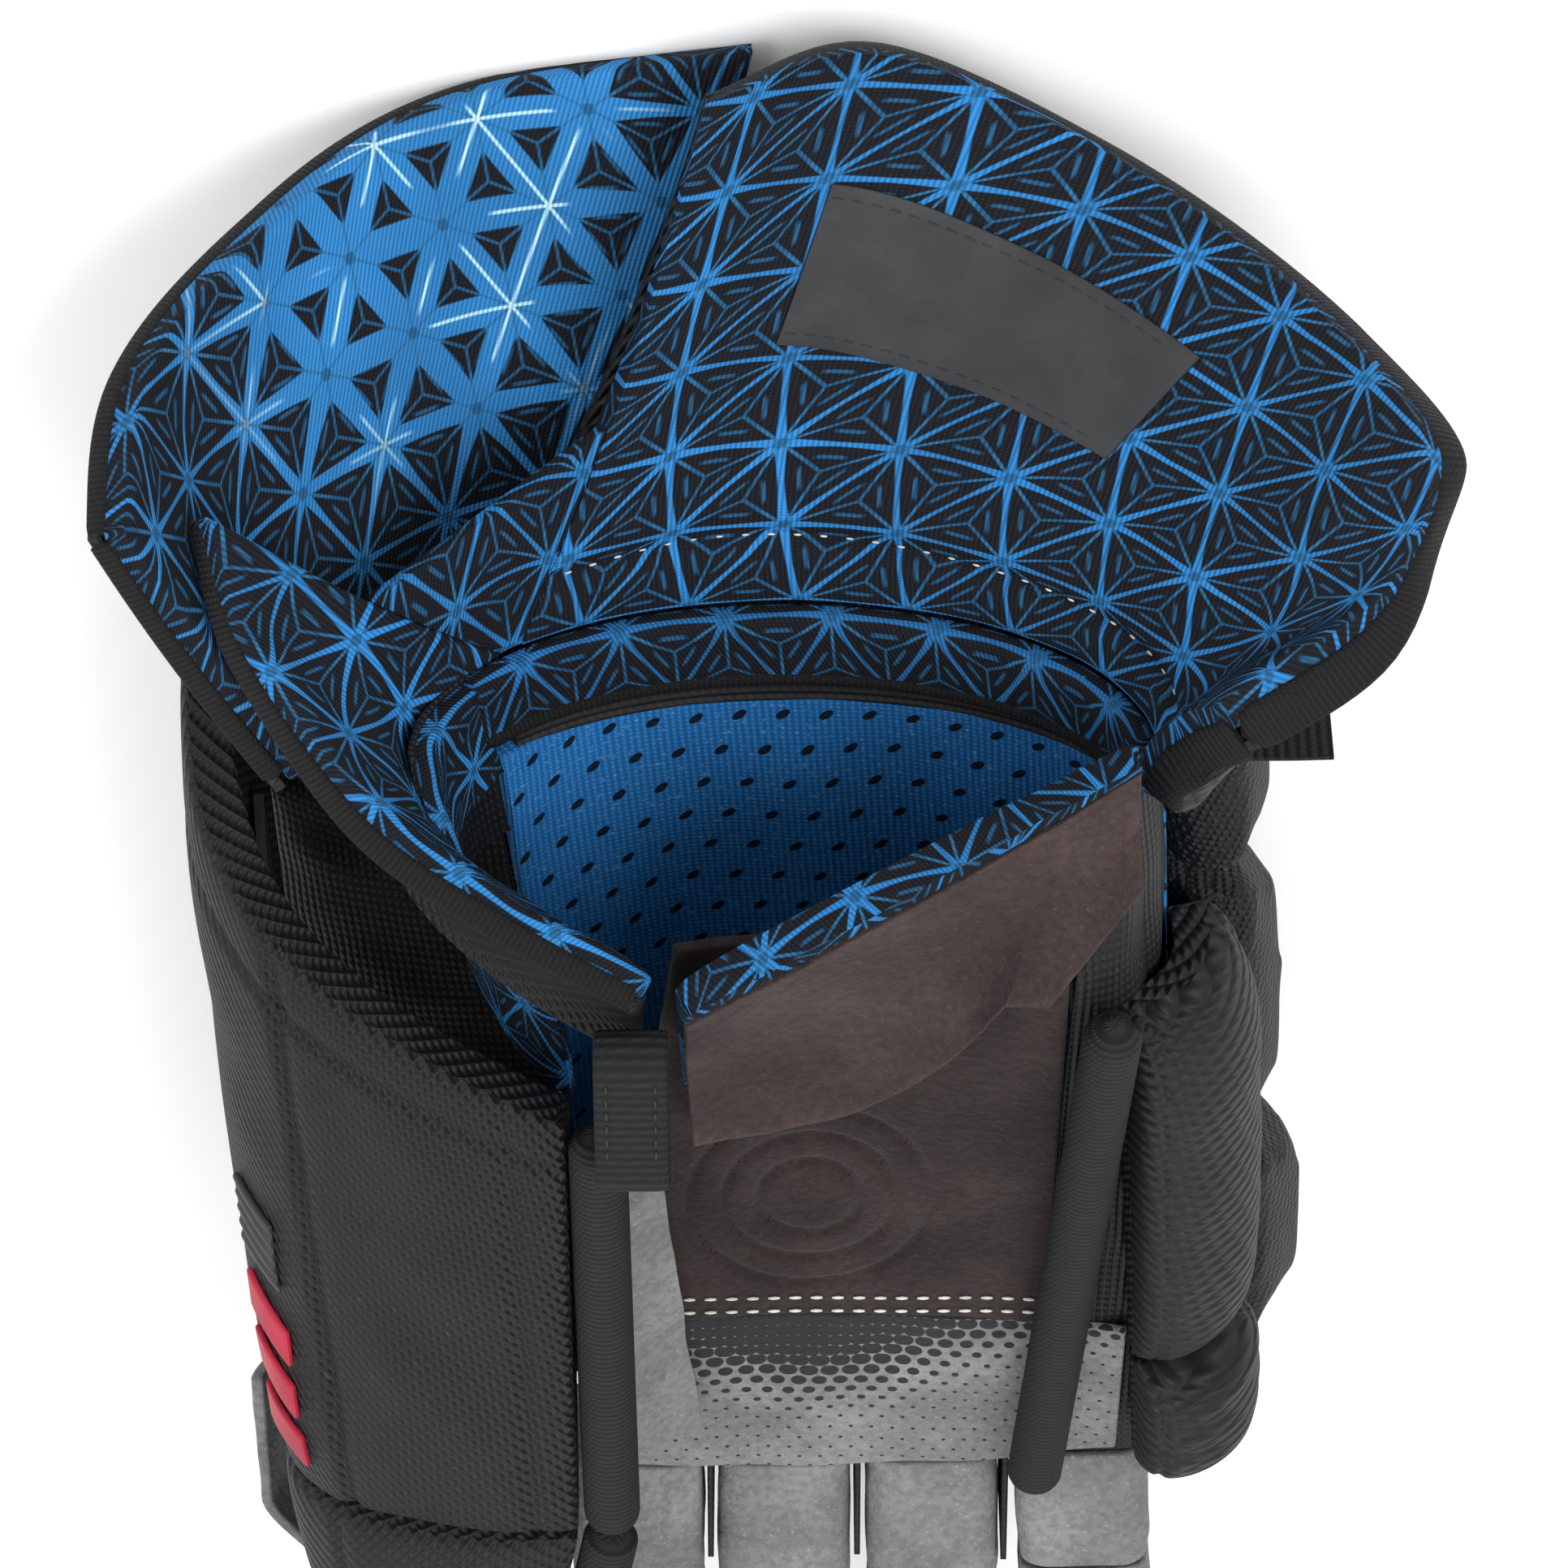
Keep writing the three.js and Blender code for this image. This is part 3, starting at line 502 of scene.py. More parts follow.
def apply_modifiers(piece: bpy.types.Object) -> None:
    """Replace the piece's mesh with the result of its modifiers."""
    bpy.context.view_layer.update()
    graph = bpy.context.evaluated_depsgraph_get()
    result = bpy.data.meshes.new_from_object(piece.evaluated_get(graph))
    piece.modifiers.clear()
    piece.data = result


def fit(
    piece: bpy.types.Object,
    finish: bpy.types.Material,
    body: str,
    slot: str,
    *nodes: str,
) -> None:
    """Dress a piece, fasten it to its body, and let it stand for its CAD nodes.

    Args:
        piece: what is dressed.
        finish: its material.
        body: the body that it rides on.
        slot: not used.
        nodes: the CAD nodes that it stands for.
    """
    piece.data.materials.clear()
    piece.data.materials.append(finish)
    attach(piece, body)
    if nodes:
        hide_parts(*nodes)


def dress(node: str, finish: bpy.types.Material) -> None:
    """Give a CAD node that stays as it is its finish."""
    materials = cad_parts[node].data.materials
    materials.clear()
    materials.append(finish)


# ---------------------------------------------------------------- finishes

Socket = bpy.types.NodeSocket
Value = Union[float, Socket]
Colour = tuple[float, float, float]
Paint = Union[Colour, Socket]


class Math(Enum):
    """The sums that a finish uses."""

    ADD = "ADD"
    SUBTRACT = "SUBTRACT"
    MULTIPLY = "MULTIPLY"
    MULTIPLY_ADD = "MULTIPLY_ADD"
    DIVIDE = "DIVIDE"
    MINIMUM = "MINIMUM"
    MAXIMUM = "MAXIMUM"
    POWER = "POWER"
    SINE = "SINE"
    FRACT = "FRACT"
    FLOOR = "FLOOR"
    ABSOLUTE = "ABSOLUTE"
    GREATER = "GREATER_THAN"
    MODULO = "FLOORED_MODULO"


class Cloth:
    """The node tree of one finish, with short methods for the nodes that it needs."""

    def __init__(self, name: str, roughness: float, sheen: float = 0.0, gloss: float = 0.25) -> None:
        """Start a material with one principled shader.

        Args:
            name: the material's name.
            roughness: how rough it is.
            sheen: how much sheen it has.
            gloss: the level of its highlights.
        """
        self.material = bpy.data.materials.new(name)
        self.material.use_nodes = True
        self.tree = self.material.node_tree
        self.shader = self.tree.nodes["Principled BSDF"]
        self.shader.inputs["Roughness"].default_value = roughness
        self.shader.inputs["Sheen Weight"].default_value = sheen
        self.shader.inputs["Sheen Roughness"].default_value = 0.5
        self.shader.inputs["Specular IOR Level"].default_value = gloss
        self.coordinates = self.tree.nodes.new("ShaderNodeTexCoord")

    def link(self, value: Value, socket: Socket) -> None:
        """Give a socket a number, or another node's output.

        Args:
            value: a number, a colour or an output.
            socket: the input that it goes to.
        """
        if isinstance(value, Socket):
            self.tree.links.new(value, socket)
        elif isinstance(value, tuple):
            socket.default_value = (*value, 1.0) if len(socket.default_value) == 4 else value
        else:
            socket.default_value = value

    def sum(self, kind: Math, a: Value, b: Value = 0.0, c: Value = 0.0) -> Socket:
        """Return the result of one sum.

        Args:
            kind: the sum.
            a: its first value.
            b: its second value.
            c: its third value, which some sums have.

        Returns:
            The result.
        """
        node = self.tree.nodes.new("ShaderNodeMath")
        node.operation = kind.value
        for value, socket in zip((a, b, c), node.inputs):
            self.link(value, socket)
        return node.outputs[0]

    def step(self, value: Value, low: float, high: float, start: float = 0.0, end: float = 1.0) -> Socket:
        """Return an eased step from start to end as the value goes from low to high.

        Args:
            value: what is compared.
            low: where the step begins.
            high: where it ends.
            start: the result below low.
            end: the result above high.

        Returns:
            The eased step.
        """
        node = self.tree.nodes.new("ShaderNodeMapRange")
        node.interpolation_type = "SMOOTHSTEP"
        names = ("Value", "From Min", "From Max", "To Min", "To Max")
        for given, name in zip((value, low, high, start, end), names):
            self.link(given, node.inputs[name])
        return node.outputs[0]

    def band(self, value: Value, low: float, high: float) -> Socket:
        """Return 1 below low, 0 above high and an eased value between."""
        return self.step(value, low, high, 1.0, 0.0)

    def product(self, a: Value, b: Value) -> Socket:
        """Return two values multiplied."""
        return self.sum(Math.MULTIPLY, a, b)

    def mix(self, share: Value, a: Paint, b: Paint) -> Socket:
        """Return a colour that is the given share of the way from a to b.

        Args:
            share: from 0 for a to 1 for b.
            a: a colour.
            b: a colour.

        Returns:
            The colour between.
        """
        node = self.tree.nodes.new("ShaderNodeMix")
        node.data_type = "RGBA"
        self.link(share, node.inputs[0])
        self.link(a, node.inputs[6])
        self.link(b, node.inputs[7])
        return node.outputs[2]

    def place(self, on_surface: bool, scale: float = 1.0, turn: float = 0.0) -> Socket:
        """Return the place on the piece's own UV map or in space, scaled and turned.

        Args:
            on_surface: whether it is read on the UV map.
            scale: how much it is scaled.
            turn: how far it is turned, in degrees.

        Returns:
            The place.
        """
        node = self.tree.nodes.new("ShaderNodeMapping")
        self.tree.links.new(self.coordinates.outputs["UV" if on_surface else "Object"], node.inputs["Vector"])
        node.inputs["Scale"].default_value = (scale, scale, scale)
        node.inputs["Rotation"].default_value = (0.0, 0.0, math.radians(turn))
        return node.outputs[0]

    def split(self, vector: Socket) -> tuple[Socket, ...]:
        """Return the three parts of a vector."""
        node = self.tree.nodes.new("ShaderNodeSeparateXYZ")
        self.tree.links.new(vector, node.inputs[0])
        return tuple(node.outputs)

    def noise(self, vector: Socket, scale: float, detail: float = 3.0) -> Socket:
        """Return a noise from 0 to 1.

        Args:
            vector: the place.
            scale: how fine the noise is.
            detail: how many layers it has.

        Returns:
            The noise.
        """
        node = self.tree.nodes.new("ShaderNodeTexNoise")
        node.inputs["Scale"].default_value = scale
        node.inputs["Detail"].default_value = detail
        self.tree.links.new(vector, node.inputs["Vector"])
        return node.outputs[0]

    def cells(self, vector: Socket, scale: float, spread: float, flat: bool) -> Socket:
        """Return the distance to the nearest cell's middle, in cells.

        Args:
            vector: the place.
            scale: how many cells there are in a metre.
            spread: how uneven the cells are.
            flat: whether they lie in a plane.

        Returns:
            The distance.
        """
        node = self.tree.nodes.new("ShaderNodeTexVoronoi")
        node.voronoi_dimensions = "2D" if flat else "3D"
        node.inputs["Scale"].default_value = scale
        node.inputs["Randomness"].default_value = spread
        self.tree.links.new(vector, node.inputs["Vector"])
        return node.outputs["Distance"]

    def ribs(self, value: Value, pitch: float) -> Socket:
        """Return a round rib, from 0 to 1, every pitch metres of the value."""
        wave = self.sum(Math.SINE, self.sum(Math.MULTIPLY, value, 2 * math.pi / pitch))
        return self.sum(Math.MULTIPLY_ADD, wave, 0.5, 0.5)

    def finish(self, colour: Paint, height: Socket, deep: float) -> bpy.types.Material:
        """Connect the colour and the relief, whose depth is in metres, and return the material.

        Args:
            colour: the base colour.
            height: the relief, from 0 to 1.
            deep: its depth in metres.

        Returns:
            The material.
        """
        self.link(colour, self.shader.inputs["Base Color"])
        bump = self.tree.nodes.new("ShaderNodeBump")
        bump.inputs["Strength"].default_value = 1.0
        bump.inputs["Distance"].default_value = deep
        self.tree.links.new(height, bump.inputs["Height"])
        self.tree.links.new(bump.outputs[0], self.shader.inputs["Normal"])
        return self.material


@dataclass(frozen=True)
class StarPrint:
    """The lining's print: a lattice of stars in blue on black knit, which can turn to blue ground."""

    name: str
    pitch: float = 0.0166
    line: float = 0.00031
    swell: float = 0.00046
    bright: Colour = (0.030, 0.235, 0.60)
    ground: Colour = (0.0075, 0.0085, 0.012)
    figure: Colour = (0.014, 0.085, 0.19)
    accent: Colour = (0.45, 0.75, 0.92)
    flooded: bool = False
    flood_middle: tuple[float, float] = (-0.012, 0.064)

    def build(self) -> bpy.types.Material:
        """Return the print as a material on the piece's UV map."""
        cloth = Cloth(self.name, 0.85, 0.0, 0.12)
        place = cloth.place(True)
        x, y, _ = cloth.split(place)
        row = self.pitch * math.sqrt(3) / 2
        shares = []
        for angle in (90, 210, 330):
            c, s = math.cos(math.radians(angle)) / row, math.sin(math.radians(angle)) / row
            along = cloth.sum(Math.MULTIPLY_ADD, x, c, cloth.product(y, s))
            shares.append(cloth.sum(Math.FRACT, along))
        total = cloth.sum(Math.ADD, cloth.sum(Math.ADD, shares[0], shares[1]), shares[2])
        flip = cloth.sum(Math.GREATER, total, 1.5)
        corner = [cloth.sum(Math.ABSOLUTE, cloth.sum(Math.SUBTRACT, flip, share)) for share in shares]
        least = cloth.sum(Math.MINIMUM, cloth.sum(Math.MINIMUM, corner[0], corner[1]), corner[2])
        most = cloth.sum(Math.MAXIMUM, cloth.sum(Math.MAXIMUM, corner[0], corner[1]), corner[2])
        middle = cloth.sum(Math.SUBTRACT, cloth.sum(Math.SUBTRACT, 1.0, least), most)
        to_line = cloth.product(least, row)
        to_spoke = cloth.product(cloth.sum(Math.SUBTRACT, middle, least), row / math.sqrt(3))
        width = cloth.sum(Math.MULTIPLY_ADD, cloth.sum(Math.POWER, most, 3.0), self.swell, self.line)
        patchy = cloth.noise(place, 28.0, 1.0)
        width = cloth.product(width, cloth.step(patchy, 0.3, 0.7, 0.75, 1.2))
        if self.flooded:
            u = cloth.sum(Math.SUBTRACT, x, self.flood_middle[0])
            v = cloth.sum(Math.SUBTRACT, y, self.flood_middle[1])
            far = cloth.sum(Math.ADD, cloth.sum(Math.POWER, u, 2.0), cloth.sum(Math.POWER, v, 2.0))
            flood = cloth.band(cloth.sum(Math.POWER, far, 0.5), 0.022, 0.052)
            width = cloth.sum(Math.MULTIPLY_ADD, flood, 0.0021, width)
        edge = cloth.sum(Math.SUBTRACT, width, to_line)
        lines = cloth.step(edge, -0.00012, 0.00018)
        spokes = cloth.band(to_spoke, 0.00012, 0.00036)
        spokes = cloth.product(spokes, cloth.band(most, 0.8, 0.88))
        off_ring = cloth.sum(Math.ABSOLUTE, cloth.sum(Math.SUBTRACT, least, 0.155))
        outline = cloth.band(off_ring, 0.012, 0.03)
        outline = cloth.product(outline, cloth.band(most, 0.5, 0.58))
        figures = cloth.sum(Math.MAXIMUM, spokes, outline)
        hub = cloth.step(most, 0.925, 0.95)
        colour = cloth.mix(figures, self.ground, self.figure)
        tint = cloth.mix(cloth.step(patchy, 0.35, 0.75), tuple(c * 0.72 for c in self.bright), self.bright)
        colour = cloth.mix(lines, colour, tint)
        rays = cloth.band(to_spoke, 0.0001, 0.0003)
        rays = cloth.product(rays, cloth.step(most, 0.56, 0.68))
        colour = cloth.mix(cloth.product(rays, 0.8), colour, tuple(c * 1.7 for c in self.figure))
        colour = cloth.mix(cloth.product(hub, 0.75), colour, self.figure)
        if self.flooded:
            core = cloth.band(to_line, 0.0001, 0.0004)
            strands = cloth.step(cloth.noise(place, 55.0, 0.0), 0.5, 0.56)
            core = cloth.product(cloth.product(core, strands), flood)
            colour = cloth.mix(core, colour, self.accent)
        twill = cloth.ribs(cloth.sum(Math.ADD, x, cloth.product(y, 0.45)), 0.00078)
        stitch = cloth.ribs(y, 0.0006)
        knit = cloth.product(twill, cloth.sum(Math.MULTIPLY_ADD, stitch, 0.45, 0.55))
        # Painted shade: the hollows of the knit are darkened towards near black.
        colour = cloth.mix(cloth.step(knit, 0.0, 0.5, 0.45, 0.0), colour, (0.004, 0.005, 0.007))
        # Painted highlight: the tops of the knit are tinted pale grey-blue.
        colour = cloth.mix(cloth.step(knit, 0.75, 1.0, 0.0, 0.05), colour, (0.3, 0.36, 0.42))
        return cloth.finish(colour, knit, 0.00022)


@dataclass(frozen=True)
class Mesh:
    """A coarse woven or knitted black fabric, on a surface or in space."""

    name: str
    pitch: float = 0.0016
    turn: float = 45.0
    dark: Colour = (0.0012, 0.0012, 0.0014)
    light: Colour = (0.0088, 0.0088, 0.0097)
    roughness: float = 0.62
    on_surface: bool = True
    stretch: float = 1.0
    deep: float = 0.0006

    def build(self) -> bpy.types.Material:
        """Return the fabric as a material."""
        cloth = Cloth(self.name, self.roughness, 0.0, 0.3)
        place = cloth.place(self.on_surface, 1.0, self.turn)
        if self.on_surface:
            x, y, _ = cloth.split(place)
            rib = cloth.ribs(x, self.pitch)
            cross = cloth.ribs(y, self.pitch * self.stretch)
            rounded = cloth.sum(Math.POWER, rib, 0.7)
            yarn = cloth.product(rounded, cloth.sum(Math.MULTIPLY_ADD, cross, 0.7, 0.3))
        else:
            far = cloth.cells(place, 1 / self.pitch, 0.22, False)
            yarn = cloth.band(far, 0.15, 0.62)
        wear = cloth.noise(place, 45.0, 4.0)
        yarn_colour = cloth.mix(cloth.step(wear, 0.35, 0.75), self.light, tuple(c * 1.5 for c in self.light))
        colour = cloth.mix(yarn, self.dark, yarn_colour)
        glint = cloth.step(cloth.noise(place, 900.0, 1.0), 0.66, 0.78, 0.0, 0.6)
        colour = cloth.mix(cloth.product(glint, yarn), colour, (0.07, 0.07, 0.073))
        return cloth.finish(colour, yarn, self.deep)


@dataclass(frozen=True)
class Ribbed:
    """A knit binding or a webbing with ribs across its length."""

    name: str
    pitch: float = 0.0011
    base: Colour = (0.005, 0.006, 0.006)
    top: Colour = (0.022, 0.025, 0.0245)
    along: bool = True
    roughness: float = 0.75

    def build(self) -> bpy.types.Material:
        """Return the webbing as a material on the piece's UV map."""
        cloth = Cloth(self.name, self.roughness, 0.0, 0.2)
        place = cloth.place(True)
        x, y, _ = cloth.split(place)
        first, second = (x, y) if self.along else (y, x)
        rib = cloth.ribs(first, self.pitch)
        strand = cloth.ribs(cloth.sum(Math.MULTIPLY_ADD, first, 0.5, second), self.pitch * 0.8)
        height = cloth.product(rib, cloth.sum(Math.MULTIPLY_ADD, strand, 0.45, 0.55))
        fuzz = cloth.noise(place, 300.0, 2.0)
        shown = cloth.product(height, cloth.step(fuzz, 0.2, 0.8, 0.7, 1.0))
        colour = cloth.mix(shown, self.base, self.top)
        return cloth.finish(colour, height, 0.0003)


@dataclass(frozen=True)
class Suede:
    """Napped synthetic suede, which may carry a printed grip of dots that fade along the palm."""

    name: str
    base: Colour
    nap: Colour
    dots: bool = False
    dot_pitch: float = 0.0034
    print_from: float = 0.004
    print_to: float = 0.052

    def build(self) -> bpy.types.Material:
        """Return the suede as a material."""
        cloth = Cloth(self.name, 0.95, 0.06, 0.1)
        space = cloth.place(False)
        blotch = cloth.noise(space, 60.0, 5.0)
        fibre = cloth.noise(space, 1500.0, 3.0)
        speck = cloth.step(cloth.noise(space, 700.0, 2.0), 0.35, 0.7)
        colour = cloth.mix(cloth.step(blotch, 0.3, 0.72), self.base, self.nap)
        colour = cloth.mix(cloth.product(speck, 0.4), colour, tuple(c * 0.55 for c in self.base))
        raised = tuple(min(c * 1.8, 1) for c in self.nap)
        colour = cloth.mix(cloth.step(fibre, 0.58, 0.75, 0.0, 0.35), colour, raised)
        height = cloth.sum(Math.MULTIPLY_ADD, speck, 0.5, fibre)
        if self.dots:
            place = cloth.place(True)
            x, y, _ = cloth.split(place)
            row = self.dot_pitch * math.sqrt(3) / 2
            lane = cloth.sum(Math.DIVIDE, y, row)
            odd = cloth.sum(Math.MODULO, cloth.sum(Math.FLOOR, lane), 2.0)
            shifted = cloth.sum(Math.MULTIPLY_ADD, odd, self.dot_pitch / 2, x)
            cell_x = cloth.sum(Math.FRACT, cloth.sum(Math.DIVIDE, shifted, self.dot_pitch))
            a = cloth.product(cloth.sum(Math.SUBTRACT, cell_x, 0.5), self.dot_pitch / row)
            b = cloth.sum(Math.SUBTRACT, cloth.sum(Math.FRACT, lane), 0.5)
            squares = cloth.sum(Math.ADD, cloth.sum(Math.POWER, a, 2.0), cloth.sum(Math.POWER, b, 2.0))
            far = cloth.sum(Math.POWER, squares, 0.5)
            drift = cloth.sum(Math.MULTIPLY_ADD, cloth.noise(place, 22.0, 1.0), 0.03, y)
            aside = cloth.sum(Math.ABSOLUTE, cloth.sum(Math.SUBTRACT, x, 0.008))
            drift = cloth.sum(Math.MULTIPLY_ADD, aside, 0.45, drift)
            size = cloth.step(drift, self.print_from + 0.013, self.print_to, 0.72, 0.12)
            inked = cloth.step(cloth.sum(Math.SUBTRACT, size, far), -0.03, 0.04)
            colour = cloth.mix(inked, colour, (0.022, 0.022, 0.024))
        return cloth.finish(colour, height, 0.0002)


@dataclass(frozen=True)
class Perforated:
    """The blue mesh lining of the hand, with rows of slanted oval holes and fine ribs."""

    name: str
    colour: Colour = (0.028, 0.205, 0.52)
    shade: Colour = (0.010, 0.095, 0.29)
    hole: Colour = (0.002, 0.008, 0.02)
    across: float = 0.0066
    along: float = 0.0072

    def build(self) -> bpy.types.Material:
        """Return the mesh as a material on the piece's UV map."""
        cloth = Cloth(self.name, 0.85, 0.0, 0.15)
        place = cloth.place(True)
        x, y, _ = cloth.split(place)
        lane = cloth.sum(Math.DIVIDE, y, self.along)
        odd = cloth.sum(Math.MODULO, cloth.sum(Math.FLOOR, lane), 2.0)
        shifted = cloth.sum(Math.MULTIPLY_ADD, odd, self.across / 2, x)
        a = cloth.sum(Math.SUBTRACT, cloth.sum(Math.FRACT, cloth.sum(Math.DIVIDE, shifted, self.across)), 0.5)
        b = cloth.sum(Math.SUBTRACT, cloth.sum(Math.FRACT, lane), 0.5)
        c, s = math.cos(math.radians(38)), math.sin(math.radians(38))
        long = cloth.sum(Math.MULTIPLY_ADD, a, c, cloth.product(b, s))
        short = cloth.sum(Math.MULTIPLY_ADD, b, c, cloth.product(a, -s))
        round_a = cloth.sum(Math.POWER, cloth.sum(Math.DIVIDE, long, 0.185), 2.0)
        round_b = cloth.sum(Math.POWER, cloth.sum(Math.DIVIDE, short, 0.095), 2.0)
        far = cloth.sum(Math.ADD, round_a, round_b)
        holes = cloth.band(far, 0.8, 1.25)
        rib = cloth.ribs(x, 0.0011)
        loop = cloth.ribs(y, 0.0009)
        knit = cloth.product(rib, cloth.sum(Math.MULTIPLY_ADD, loop, 0.5, 0.5))
        colour = cloth.mix(knit, self.shade, self.colour)
        glint = cloth.step(cloth.noise(place, 900.0, 1.0), 0.6, 0.75, 0.0, 0.3)
        colour = cloth.mix(glint, colour, (0.2, 0.45, 0.75))
        colour = cloth.mix(holes, colour, self.hole)
        height = cloth.sum(Math.MULTIPLY_ADD, knit, 0.4, cloth.sum(Math.SUBTRACT, 1.0, holes))
        return cloth.finish(colour, height, 0.0006)


@dataclass(frozen=True)
class Moulded:
    """Moulded rubber or plastic, or thread: one colour with fine grain and random darker blotches."""

    name: str
    colour: Colour
    roughness: float = 0.45
    grain: float = 1400.0
    deep: float = 0.00005

    def build(self) -> bpy.types.Material:
        """Return the moulding as a material."""
        cloth = Cloth(self.name, self.roughness)
        space = cloth.place(False)
        grain = cloth.noise(space, self.grain, 2.0)
        blotch = cloth.noise(space, 120.0, 3.0)
        colour = cloth.mix(cloth.step(blotch, 0.35, 0.7), tuple(c * 0.75 for c in self.colour), self.colour)
        return cloth.finish(colour, grain, self.deep)


class Wardrobe:
    """Every finish of the glove, made once."""

    def __init__(self) -> None:
        """Build the finishes."""
        self.print = StarPrint("star_print").build()
        self.flooded_print = StarPrint("flooded_star_print", flooded=True, bright=(0.035, 0.25, 0.62)).build()
        # A darker copy of the star print: painted shade for the band inside the wrist.
        self.shaded_print = StarPrint("shaded_star_print", bright=(0.022, 0.17, 0.45)).build()
        self.perforated = Perforated("perforated_lining").build()
        self.shell_mesh = Mesh("shell_mesh", pitch=0.0023, turn=52.0, stretch=0.62, deep=0.0009).build()
        self.pad_mesh = Mesh("pad_mesh", pitch=0.0013, on_surface=False, turn=20.0).build()
        self.knit = Mesh(
            "soft_knit",
            pitch=0.0012,
            turn=0.0,
            stretch=1.6,
            light=(0.008, 0.008, 0.009),
            deep=0.0004,
        ).build()
        self.flap_mesh = Mesh(
            "flap_mesh",
            pitch=0.0031,
            turn=28.0,
            stretch=0.75,
            light=(0.011, 0.011, 0.012),
        ).build()
        self.binding = Ribbed("knit_binding").build()
        self.webbing = Ribbed(
            "webbing",
            pitch=0.0016,
            base=(0.004, 0.0045, 0.0045),
            top=(0.015, 0.016, 0.016),
        ).build()
        self.elastic = Ribbed("wrist_elastic", pitch=0.0019, top=(0.03, 0.026, 0.028), along=False).build()
        self.trim = Ribbed(
            "edge_trim",
            pitch=0.0009,
            base=(0.003, 0.003, 0.0035),
            top=(0.011, 0.011, 0.012),
        ).build()
        # The heel patch's suede is a darker copy of the tab's: painted shade, as the heel patch lies in
        # shadow below the tab.
        self.brown_suede = Suede("brown_suede", (0.017, 0.012, 0.0115), (0.033, 0.0235, 0.0225)).build()
        self.tab_suede = Suede("tab_suede", (0.032, 0.022, 0.0215), (0.056, 0.039, 0.037)).build()
        self.grey_suede = Suede("grey_suede", (0.13, 0.13, 0.133), (0.21, 0.21, 0.213)).build()
        self.grip_suede = Suede("grip_suede", (0.14, 0.14, 0.143), (0.22, 0.22, 0.223), dots=True).build()
        self.red_rubber = Moulded("red_rubber", (0.36, 0.012, 0.035), 0.5).build()
        self.dark_rubber = Moulded("dark_rubber", (0.028, 0.030, 0.032), 0.42).build()
        self.label = Moulded("label_film", (0.027, 0.028, 0.030), 0.6, 600.0, 0.0001).build()
        self.stiffener = Moulded("stiffener", (0.02, 0.02, 0.022), 0.5).build()
        self.thread = Moulded("pale_thread", (0.62, 0.60, 0.57), 0.8, 2500.0).build()
        self.dark_thread = Moulded("dark_thread", (0.03, 0.03, 0.032), 0.75, 2500.0).build()


# ---------------------------------------------------------------- the glove's own forms


@dataclass(frozen=True)
class HandForm:
    """The tube, from an ellipse at the wrist to a flat oval at the knuckles, that the hand is built on."""

    half_width: tuple[float, float] = (54.0, 48.0)
    back_depth: tuple[float, float] = (33.0, 27.0)
    palm_depth: tuple[float, float] = (20.0, 6.0)
    centre_x: tuple[float, float] = (0.0, -14.0)
    centre_z: tuple[float, float] = (78.0, 57.0)
    squareness: tuple[float, float] = (2.0, 3.0)

    def around(self, angle: float, t: float) -> Vector:
        """Return the section's point at an angle, for t from 0 at the wrist to 1 at the knuckles."""
        power = 2 / lerp(*self.squareness, t)
        s, c = math.sin(math.radians(angle)), math.cos(math.radians(angle))
        deep = lerp(*self.back_depth, t) if c > 0 else lerp(*self.palm_depth, t)
        x = lerp(*self.centre_x, t) + lerp(*self.half_width, t) * math.copysign(abs(s) ** power, s)
        return Vector((x, 0, lerp(*self.centre_z, t) - deep * math.copysign(abs(c) ** power, c)))

    def point(self, angle: float, y: float, outside: float = 0.0) -> Vector:
        """Return the point at an angle and a place along the hand, so far outside the form.

        Args:
            angle: the angle round the hand.
            y: the place along it.
            outside: how far off the form.

        Returns:
            The point.
        """
        t = min(max((y - WRIST_Y) / (KNUCKLE_Y - WRIST_Y), 0.0), 1.1)
        ahead = (self.around(angle + 0.5, t) - self.around(angle - 0.5, t)).normalized()
        place = self.around(angle, t) + Vector((ahead.z, 0, -ahead.x)) * outside
        return Vector((place.x, y, place.z))

    def patch(self, angles: tuple[float, float], places: tuple[float, float]) -> Surface:
        """Return the form's own surface between two angles and two places."""
        return lambda u, v: self.point(lerp(*angles, u), lerp(*places, v))


FORM = HandForm()


@dataclass(frozen=True)
class Station:
    """A place on a flap's rim: an angle, and how far the rim is out, back and down from the wrist."""

    angle: float
    out: float
    back: float
    down: float


@dataclass(frozen=True)
class Flap:
    """A flared flap of the cuff, from the wrist line to its rim."""

    stations: tuple[Station, ...]
    angles: tuple[float, float]
    places: tuple[float, float]
    lift: float
    belly: float
    inside: Vector = Vector((0.0, WRIST_Y - 20, 74.0))

    def surface(self) -> Surface:
        """Return the flap's inner face as a surface, v running from the wrist to the rim."""
        rim = []
        for spot in self.stations:
            side = math.copysign(1, spot.angle)
            move = Vector((side * spot.out, -spot.back, -spot.down))
            rim.append(FORM.point(spot.angle, WRIST_Y, self.lift) + move)

        def point(u: float, v: float) -> Vector:
            """Return the flap's point at a place across and up it."""
            angle = lerp(*self.angles, u)
            wrist = FORM.point(angle, lerp(*self.places, u), self.lift)
            bulge = FORM.point(angle, 0, self.belly) - FORM.point(angle, 0, 0)
            return wrist.lerp(catmull(rim, u), v) + bulge * math.sin(math.pi * v)

        return point


